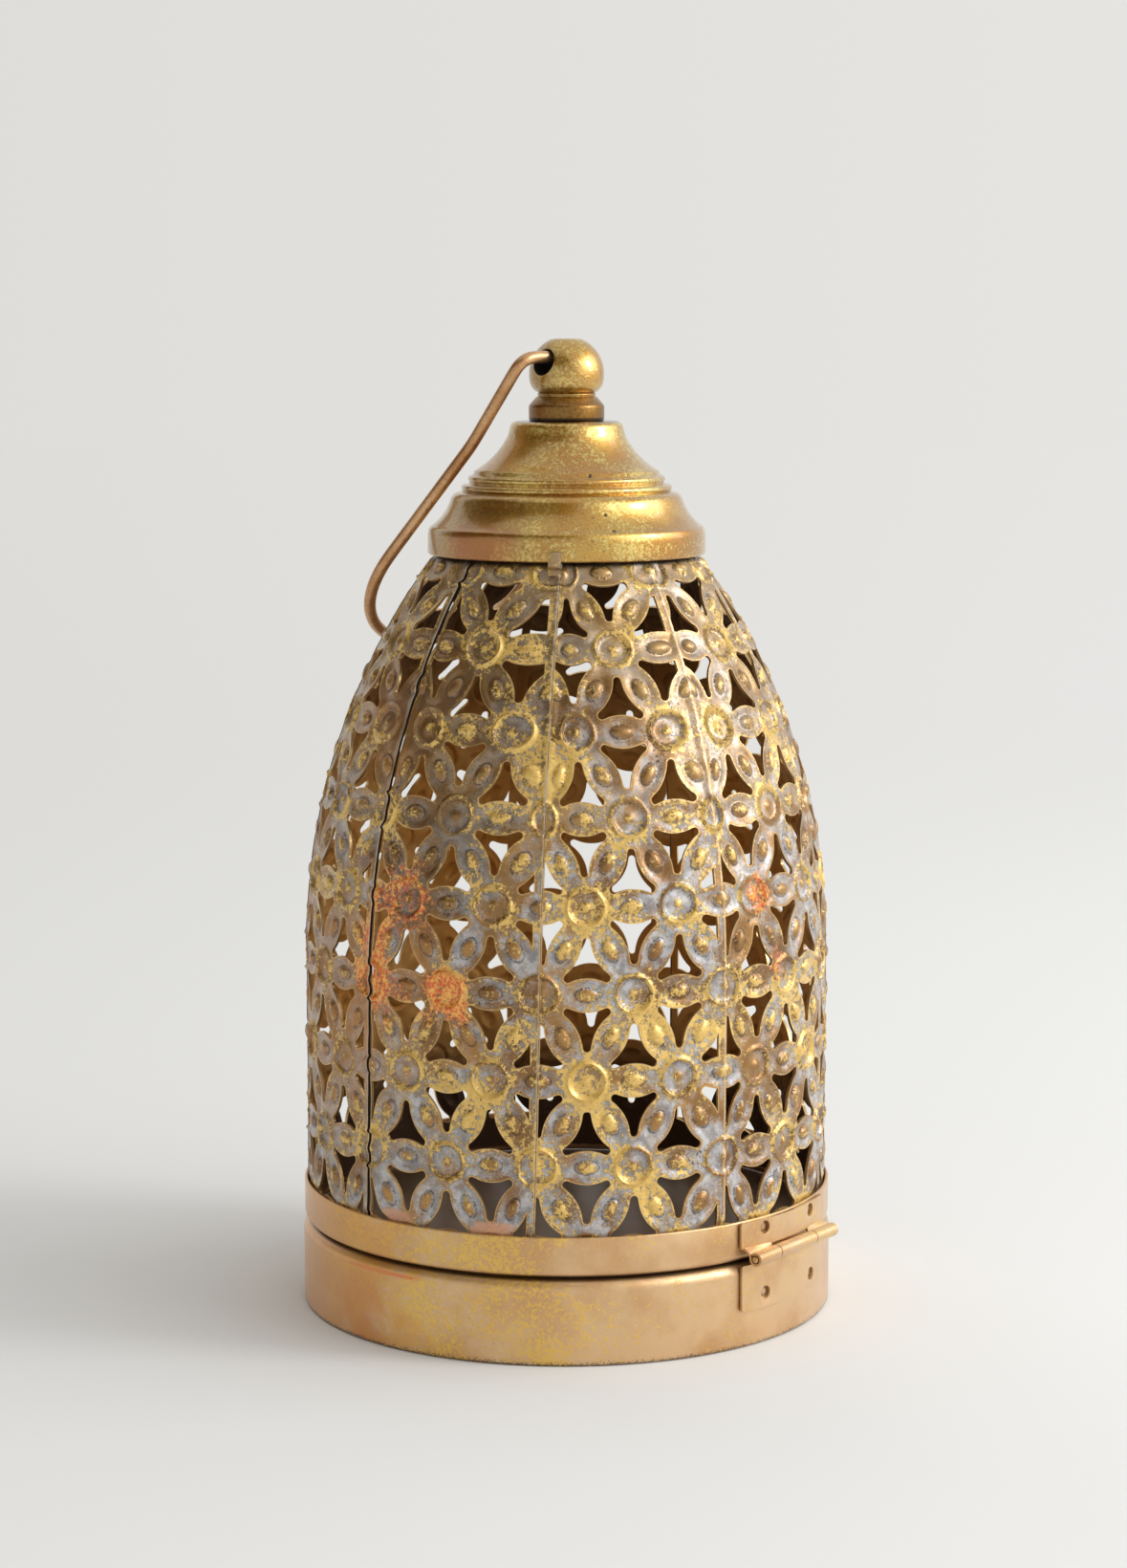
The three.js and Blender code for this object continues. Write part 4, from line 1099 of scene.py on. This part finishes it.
def make_cap():
    outside = cap_profile()
    stud_r = 2.3
    rim_points = 14
    top = CAP_TOP_Z - CAP_Z
    inside = [Vector((max(stud_r, p.x - SHEET), p.y - SHEET)) for p in outside[rim_points:]]
    hem = [Vector((CAP_R - 1.0, 2.6)), Vector((CAP_R - 1.3, 2.2))]
    profile = outside + [Vector((stud_r, top)), Vector((stud_r, top - SHEET))] + inside[::-1] + hem
    points, faces = turned(profile, 160, dent=0.1)
    points = [(x, y, z + CAP_Z) for x, y, z in points]
    make_piece("cap", points, faces, [BRASS], "shell", "antique_brass", ["cap"], crease=60)


BALL_R = 9.15
BALL_RISE = 11.1
CROSS_HOLE_R = 3.2
CROSS_HOLE_RISE = BALL_RISE + 2.8


def finial_profile():
    """Outside of the finial, from the end of its stud up: radius and height above the cap."""
    low = FINIAL_LOW_Z - FINIAL_Z
    top = FINIAL_TOP_Z - FINIAL_Z
    stud_r = 2.0
    seat = 0.02 - FIT
    profile = [(0.0, low), (stud_r, low), (stud_r, seat)]
    profile += [(8.9, seat), (9.15, seat + 0.25), (9.2, 0.7), (9.2, 2.9)]
    profile = bent_on(profile, ((9.2, 3.5), (8.8, 3.85), 4))
    profile += [(7.55, 5.35), (7.25, 5.55), (6.95, 5.7), (6.95, 5.9)]
    profile += arc((6.9, 6.15), 0.25, -60, 70, 4)
    profile += [(6.75, 6.5)]
    profile = bent_on(profile, ((9.1, 7.3), (BALL_R, 10.6), 12))
    high = math.degrees(math.asin((top - 0.4 - BALL_RISE) / BALL_R))
    profile += arc((0.0, BALL_RISE), BALL_R, 3, high, 16)
    crown = profile[-1].x
    profile = bent_on(profile, ((crown - 0.9, top), (crown - 2.0, top), 4))
    return profile + [(0.0, top)]


def make_finial():
    points, faces = turned(finial_profile(), 96, closed=False)
    points = [(x, y, z + FINIAL_Z) for x, y, z in points]
    finishes = [BRASS, HOLE_SHADE]
    finial = make_piece("finial", points, faces, finishes, "shell", "antique_brass", ["finial"], crease=45)

    along = Vector((*around(12.0, FINIAL_TURN + math.pi / 2), 0.0))
    middle = Vector((0.0, 0.0, FINIAL_Z + CROSS_HOLE_RISE))
    points, faces = swept([middle - along, middle + along], CROSS_HOLE_R, 40)
    drill_mesh = new_mesh("cross_drill", points, faces, finishes)
    drill_mesh.polygons.foreach_set("material_index", [finishes.index(HOLE_SHADE)] * len(faces))
    drill = add_object("cross_drill", drill_mesh)
    cut = finial.modifiers.new("cross_hole", "BOOLEAN")
    cut.object = drill
    cut.solver = "EXACT"
    bpy.context.view_layer.update()
    drilled = bpy.data.meshes.new_from_object(finial.evaluated_get(bpy.context.evaluated_depsgraph_get()))
    finial.modifiers.clear()
    finial.data = drilled
    drilled.shade_smooth()
    drilled.set_sharp_from_angle(angle=math.radians(35))
    bpy.data.objects.remove(drill)
    bpy.data.meshes.remove(drill_mesh)


# Bail's wire: distances across it at the neck, the knee and the belly of each leg, and down from the ball
BAIL_REAR = (11.2, 15.0, 26.9)
BAIL_FRONT = (16.0, 18.3, 28.2)
BAIL_BEND = 5.0
BAIL_KNEE = 25.5
BAIL_BELLY = 58.0
BAIL_LENGTH = 87.0
BAIL_CORNER = 18.0
BAIL_WIRE_R = 1.5
BAIL_LEAN = math.radians(55.87)


def bail_leg(neck, knee_across, belly_across):
    """Half of the bail's line: distance across and distance down from the ball."""
    knee, belly = Vector((knee_across, BAIL_KNEE)), Vector((belly_across, BAIL_BELLY))
    line = [Vector((neck - BAIL_BEND, 0.0)) * (0.05 + i * 0.95 / 6) for i in range(7)]
    line += bend(line[-1], (neck, 0.0), (neck, BAIL_BEND), 10)
    line += [line[-1].lerp(knee, i / 16) for i in range(1, 17)]
    line += [knee.lerp(belly, i / 24) for i in range(1, 25)]
    pull = (belly - knee).normalized() * BAIL_CORNER
    ends = [belly, belly + pull, Vector((BAIL_CORNER, BAIL_LENGTH)), Vector((0.0, BAIL_LENGTH))]
    for i in range(1, 41):
        t = i / 40
        shares = [(1 - t) ** 3, 3 * t * (1 - t) ** 2, 3 * t * t * (1 - t), t ** 3]
        line.append(sum((point * share for point, share in zip(ends, shares)), Vector((0.0, 0.0))))
    return line


def make_bail():
    line = [Vector((-p.y, p.x, 0.0)) for p in bail_leg(*BAIL_REAR)]
    line += [Vector((-p.y, -p.x, 0.0)) for p in bail_leg(*BAIL_FRONT)[-2::-1]]
    # Ease the bends
    for _ in range(3):
        inner = [(a + b * 2 + c) / 4 for a, b, c in zip(line, line[1:], line[2:])]
        line = [line[0], *inner, line[-1]]
    leant = Matrix.Rotation(FINIAL_TURN, 4, "Z") @ Matrix.Rotation(-BAIL_LEAN, 4, "Y")
    place = Matrix.Translation(BAIL_PIVOT) @ leant
    points, faces = swept([place @ spot for spot in line], BAIL_WIRE_R, 16)
    make_piece("bail_wire", points, faces, [BRONZE], "bail", "bronze_wire", ["bail"], crease=60)


# Hinge

RIVET_ANGLE = 10.0 / PAN_R
RIVET_HOLE_R = 1.6
HOLE_DIP = 0.2
HOLE_DIP_REACH = 0.4
RIVET_SEAT = FIT + LEAF_T - 0.3
UPPER_RIVET_Z = COLLAR_TOP_Z - 2.4
LOWER_LEAF_Z = PAN_H - 11.6
LOWER_RIVET_Z = LOWER_LEAF_Z + 3.4
PAN_WALL_R = (PAN_R - SHEET) * math.cos(math.pi / 32) - FIT
KNUCKLE_ROOM = KNUCKLE_R + FIT
MIDDLE_KNUCKLE = 7.8
OUTER_KNUCKLE = MIDDLE_KNUCKLE + FIT
KNUCKLE_END = 17.2


def leaf_plate(inner_r, low, high, rivet_z):
    """Plate of a leaf, curved to the drum, with its two rivet holes."""
    corners = [(-LEAF_HALF, low), (LEAF_HALF, low), (LEAF_HALF, high), (-LEAF_HALF, high)]
    outline = eased(corners, 0.5)
    edge = []
    for i, point in enumerate(outline):
        onward = outline[(i + 1) % len(outline)]
        count = max(1, int((onward - point).length / 1.5))
        edge += [point.lerp(onward, k / count) for k in range(count)]
    middles = [(side * RIVET_ANGLE * inner_r, rivet_z) for side in (1, -1)]
    holes = [arc(middle, RIVET_HOLE_R, 0, 345, 23) for middle in middles]
    fills = [Vector((x * 1.5, low + (high - low) * k / 5)) for x in range(-11, 12) for k in range(1, 5)]
    sheet = cut_plate(edge, holes, fills)

    def wrap(point, offset):
        return Vector((*around(inner_r + LEAF_T + offset, point.x / inner_r), point.y))

    def dip(point):
        """How far a punched hole draws the sheet in."""
        away = min((point - Vector(middle)).length for middle in middles) - RIVET_HOLE_R
        return -HOLE_DIP * math.exp(-max(0.0, away) / HOLE_DIP_REACH)

    points, faces, _ = sheet.wrapped(wrap, [dip(point) for point in sheet.points], LEAF_T)
    return points, faces


def knuckle(inner_r, start, end, root_z, down):
    """Sheet of a leaf rolled round the pin. Down is 1 where it goes under the pin first, or else -1."""
    sections = []
    middle_r = KNUCKLE_R - KNUCKLE_T / 2
    count = max(4, int(end - start))
    for i in range(count + 1):
        y = start + (end - start) * i / count
        plate_x = math.sqrt((inner_r + LEAF_T / 2) ** 2 - y * y)
        root = Vector((plate_x, root_z))
        back = Vector((HINGE_PIN.x - middle_r, HINGE_PIN.z))
        line = [root] + bend(root, (back.x, (root_z + back.y) / 2), back, 5)
        roll = [math.pi + down * math.radians(a) for a in range(15, 316, 15)]
        line += [around(middle_r, angle, (HINGE_PIN.x, HINGE_PIN.z)) for angle in roll]
        left, right = [], []
        for k, spot in enumerate(line):
            along = heading(line, k)
            side = Vector((-along.y, along.x)) * KNUCKLE_T / 2
            left.append(spot + side)
            right.append(spot - side)
        sections.append([Vector((p.x, y, p.y)) for p in left + right[::-1]])
    return lofted(sections)


def make_hinge():
    upper_r = COLLAR_R + FIT
    lower_r = PAN_R + FIT
    upper_root = HINGE_PIN.z + KNUCKLE_ROOM
    lower_root = HINGE_PIN.z - KNUCKLE_ROOM
    upper = joined(
        leaf_plate(upper_r, upper_root, COLLAR_TOP_Z - 0.3, UPPER_RIVET_Z),
        knuckle(upper_r, -KNUCKLE_END, -OUTER_KNUCKLE, upper_root + 0.2, 1),
        knuckle(upper_r, OUTER_KNUCKLE, KNUCKLE_END, upper_root + 0.2, 1))
    lower = joined(
        leaf_plate(lower_r, LOWER_LEAF_Z, lower_root, LOWER_RIVET_Z),
        knuckle(lower_r, -MIDDLE_KNUCKLE, MIDDLE_KNUCKLE, lower_root - 0.2, -1))
    for name, body, mesh in (("upper", "shell", upper), ("lower", "base", lower)):
        nodes = [f"hinge_{name}_leaf"]
        make_piece(f"hinge_{name}_leaf_rolled", *mesh, [COPPER], body, "copper_satin", nodes, crease=35)

    half = reach("hinge_pin")[1].y
    end = [(0.0, half), (0.5, half), (0.8, half - 0.25)]
    profile = [(radius, -height) for radius, height in end] + end[::-1]
    points, faces = turned(profile, 24, closed=False)
    place = Matrix.Translation(HINGE_PIN) @ Matrix.Rotation(-math.pi / 2, 4, "X")
    points = moved(points, place)
    make_piece("hinge_pin_turned", points, faces, [COPPER], "base", "copper_satin", ["hinge_pin"])

    shank = 1.3
    domed = [(shank, -0.75), (shank * 0.9, -0.62), (shank * 0.5, -0.52), (0.0, -0.48)]
    upper_profile = [(0.0, -RIVET_SEAT - SHEET), (shank, -RIVET_SEAT - SHEET), *domed]
    neck = PAN_WALL_R - PAN_R - RIVET_SEAT
    tail = [(0.0, neck - 0.8), (1.6, neck - 0.8), (2.3, neck - 0.4), (2.4, neck)]
    lower_profile = [*tail, (shank, neck), *domed]
    rows = (("upper", "shell", COLLAR_R, UPPER_RIVET_Z, upper_profile),
            ("lower", "base", PAN_R, LOWER_RIVET_Z, lower_profile))
    for name, body, radius, height, profile in rows:
        for number, angle in ((1, RIVET_ANGLE), (2, -RIVET_ANGLE)):
            node = f"hinge_{name}_rivet_{number}"
            rivet_on_drum(node, profile, angle, radius + RIVET_SEAT, height, body, sunk_shade=0.8)


def rivet_on_drum(node, profile, angle, radius, height, body, sunk_shade=0.0):
    """A rivet or stud turned from a profile and stood on the drum, with its head facing out."""
    points, faces = turned(profile, 28, closed=False)
    # Painted shade: the rim of a sunk rivet head goes dark, as the hole round it falls into shade
    marks = {"painted_shade": [sunk_shade * step(math.hypot(x, y), 0.3, 1.2) for x, y, _ in points]}
    out = Matrix.Rotation(angle, 4, "Z") @ Matrix.Translation((radius, 0.0, height))
    points = moved(points, out @ Matrix.Rotation(math.pi / 2, 4, "Y"))
    name = f"{node}_turned"
    make_piece(name, points, faces, [COPPER], body, "copper_satin", [node], crease=50, marks=marks)


# Catch

HOOK_T = 1.0
HOOK_LENGTH = 14.5
HOOK_EYE_R = 3.0
HOOK_ARM_HALF = 2.0
HOOK_END_R = 4.0
HOOK_PARKED = math.radians(65)
STUD_NECK_R = 1.2


def hook_outline():
    """Flat hook with its eye at the origin and its arm hanging down, open at one side for the stud."""
    foot = Vector((0.0, -HOOK_LENGTH))
    seat_r = STUD_NECK_R + FIT
    eye_turn = math.degrees(math.asin(HOOK_ARM_HALF / HOOK_EYE_R))
    end_turn = math.degrees(math.asin(HOOK_ARM_HALF / HOOK_END_R))

    def mouth_angle(radius):
        """Angle from straight down at which a circle round the eye leaves the end of the hook."""
        share = (radius ** 2 + HOOK_LENGTH ** 2 - HOOK_END_R ** 2) / (2 * radius * HOOK_LENGTH)
        return math.degrees(math.acos(share))

    upper_r, lower_r = HOOK_LENGTH - seat_r, HOOK_LENGTH + seat_r
    upper_lip = around(upper_r, math.radians(-90 + mouth_angle(upper_r)))
    lower_lip = around(lower_r, math.radians(-90 + mouth_angle(lower_r)))
    upper_turn = math.degrees(math.atan2(*(upper_lip - foot).yx))
    lower_turn = math.degrees(math.atan2(*(lower_lip - foot).yx))
    loop = arc((0.0, 0.0), HOOK_EYE_R, -90 + eye_turn, 270 - eye_turn, 30)
    loop += arc(foot, HOOK_END_R, 90 + end_turn, 360 + lower_turn, 26)
    loop += arc((0.0, 0.0), lower_r, -90 + mouth_angle(lower_r), -90, 6)[1:]
    loop += arc(foot, seat_r, -90, -270, 14)[1:-1]
    loop += arc((0.0, 0.0), upper_r, -90, -90 + mouth_angle(upper_r), 6)[:-1]
    loop += arc(foot, HOOK_END_R, upper_turn, 90 - end_turn, 6)
    return loop


def make_catch():
    eye = arc((0.0, 0.0), 1.2, 0, 345, 23)
    sheet = cut_plate(hook_outline(), [eye])
    parked = Matrix.Rotation(-HOOK_PARKED, 2)

    def wrap(point, offset):
        flat = parked @ point
        return Vector((HOOK_PIVOT.x - HOOK_T - offset, -flat.x, HOOK_PIVOT.z + flat.y))

    points, faces, _ = sheet.wrapped(wrap, [0.0] * len(sheet.points), HOOK_T)
    nodes = ["latch_hook"]
    hook = make_piece("catch_hook", points, faces, [COPPER], "latch", "copper_satin", nodes, crease=35)
    edge = hook.modifiers.new("rubbed_edges", "BEVEL")
    edge.width = 0.15 * MM
    edge.segments = 2
    edge.angle_limit = math.radians(50)

    face_r = -HOOK_PIVOT.x + HOOK_T + FIT
    pivot_r, head_r, head_h = 0.9, 1.6, 0.8
    deep = COLLAR_R - SHEET - face_r
    profile = [(0.0, deep), (pivot_r, deep), (pivot_r, 0.0), (head_r, 0.0), (head_r, 0.25)]
    profile += bend((head_r, 0.25), (head_r * 0.9, head_h), (0.0, head_h), 6)
    rivet_on_drum("latch_rivet", profile, math.pi, face_r, HOOK_PIVOT.z, "shell")
    stud_r, stud_h = 2.4, 1.2
    deep = PAN_WALL_R - face_r
    profile = [(0.0, deep - stud_h), (stud_r * 0.6, deep - stud_h), (stud_r, deep - 0.5), (stud_r, deep)]
    profile += [(STUD_NECK_R, deep), (STUD_NECK_R, 0.0), (stud_r, 0.0), (stud_r, 0.4)]
    profile += bend((stud_r, 0.4), (stud_r * 0.9, stud_h), (0.0, stud_h), 7)
    rivet_on_drum("latch_stud", profile, math.pi, face_r, HOOK_PIVOT.z - HOOK_LENGTH, "base")


# Stage: pale floor and room, a window at the right with a brighter patch of sky, a dark card at the left

VIEW_TURN = math.radians(35.9)
VIEW_FAR = 843.0
VIEW_HEIGHT = 241.3
VIEW_DIP = math.radians(7.64)
VIEW_LENS = 79.13
VIEW_SHIFT = -0.00195
LEFT_WALL = paint("#dcdbd7")
RIGHT_WALL = paint("#e7e6e4")
FLOOR_R = 6000.0
FLOOR_SIDES = 96
FLOOR_FADE = (0.25, 1.6)
ROOM_LIGHT = 1.15
CARD_FAR = 1.3
CARD_TOP = 2.0


def from_camera(angle, distance, height):
    """Place at an angle to the right of the camera's own side, in metres."""
    turn = VIEW_TURN + math.radians(angle)
    return Vector((distance * math.sin(turn), -distance * math.cos(turn), height))


def seen_directly(tree):
    """1 for rays that show the background: from the camera, from metal and through glass."""
    path = tree.node("ShaderNodeLightPath").outputs
    seen = tree.math("MAXIMUM", path["Is Camera Ray"], path["Is Glossy Ray"])
    return tree.math("MAXIMUM", seen, path["Is Transmission Ray"])


def wall_colour(tree, way):
    """Colour of the room in a direction, a little lighter at the window's side."""
    to_right = from_camera(90, 1.0, 0.0)
    side = tree.measure("DOT_PRODUCT", way, to_right)
    return tree.mix(tree.rise(side, -0.35, 0.35), LEFT_WALL, RIGHT_WALL)


def make_world():
    world = bpy.data.worlds.new("pale_room")
    bpy.context.scene.world = world
    tree = bare_tree(world)
    colour = wall_colour(tree, tree.node("ShaderNodeTexCoord").outputs["Generated"])
    strength = tree.level(seen_directly(tree), ROOM_LIGHT, 1.0)
    shade = tree.node("ShaderNodeBackground", {"Color": colour, "Strength": strength})
    tree.put(tree.node("ShaderNodeOutputWorld").inputs["Surface"], shade.outputs[0])


def make_floor():
    material = bpy.data.materials.new("pale_floor")
    tree = bare_tree(material)
    spot = tree.node("ShaderNodeTexCoord").outputs["Object"]
    way = tree.node("ShaderNodeVectorMath", {0: spot}, operation="NORMALIZE").outputs["Vector"]
    far = tree.times(tree.rise(tree.measure("LENGTH", spot), *FLOOR_FADE), seen_directly(tree))
    near_shade = tree.node("ShaderNodeBsdfDiffuse", {"Color": "#e5e6e6"})
    far_shade = tree.node("ShaderNodeEmission", {"Color": wall_colour(tree, way)})
    both = tree.node("ShaderNodeMixShader", {0: far, 1: near_shade.outputs[0], 2: far_shade.outputs[0]})
    tree.put(tree.node("ShaderNodeOutputMaterial").inputs["Surface"], both.outputs[0])
    points = [(*around(FLOOR_R, TURN * i / FLOOR_SIDES), 0.0) for i in range(FLOOR_SIDES)]
    floor = add_object("floor", new_mesh("floor", points, [list(range(FLOOR_SIDES))], [material]))


def make_card():
    """A dark brown card at the left and high in front, which only reflections and shade show."""
    points = []
    angles = range(-125, 11, 9)
    for angle in angles:
        foot = 0.3 + 0.45 * step(angle, -110, -50)
        points += [from_camera(angle, CARD_FAR, height) / MM for height in (foot, CARD_TOP)]
    faces = [[2 * i, 2 * i + 2, 2 * i + 3, 2 * i + 1] for i in range(len(angles) - 1)]
    card = add_object("dark_card", new_mesh("dark_card", points, faces, [new_material("dark_felt", felt)]))
    card.visible_camera = False


def make_lamp(name, place, target, width, height, power):
    lamp = bpy.data.lights.new(name, "AREA")
    lamp.shape = "RECTANGLE"
    lamp.size = width
    lamp.size_y = height
    lamp.energy = power
    holder = add_object(name, lamp)
    holder.location = place
    holder.rotation_euler = (target - place).to_track_quat("-Z", "Y").to_euler()
    holder.visible_camera = False


def make_stage():
    make_world()
    make_floor()
    make_card()
    middle = Vector((0.0, 0.0, 0.12))
    make_lamp("window", from_camera(80, 1.5, 0.85), middle, 2.0, 1.1, 14.0)
    make_lamp("window_sky", from_camera(78, 1.45, 0.85), middle, 0.42, 0.42, 8.0)
    camera = bpy.data.cameras.new("camera")
    camera.lens = VIEW_LENS
    camera.sensor_width = 36.0
    camera.shift_x = VIEW_SHIFT
    camera.clip_start = 0.01
    holder = add_object("camera", camera)
    holder.location = from_camera(0, VIEW_FAR * MM, VIEW_HEIGHT * MM)
    holder.rotation_euler = (math.pi / 2 - VIEW_DIP, 0.0, VIEW_TURN)
    bpy.context.scene.camera = holder
    bpy.context.scene.view_settings.view_transform = "Standard"


def dress_hidden_nodes():
    """The washer and the nut under the cap keep their solids and take the cap's finish."""
    for node in ("finial_washer", "finial_nut"):
        mesh = frame["nodes"][node].data
        mesh.materials.clear()
        mesh.materials.append(BRASS)


make_stage()
make_pan()
make_collar()
make_gores()
make_seam_tab()
make_cap()
make_finial()
make_bail()
make_hinge()
make_catch()
dress_hidden_nodes()
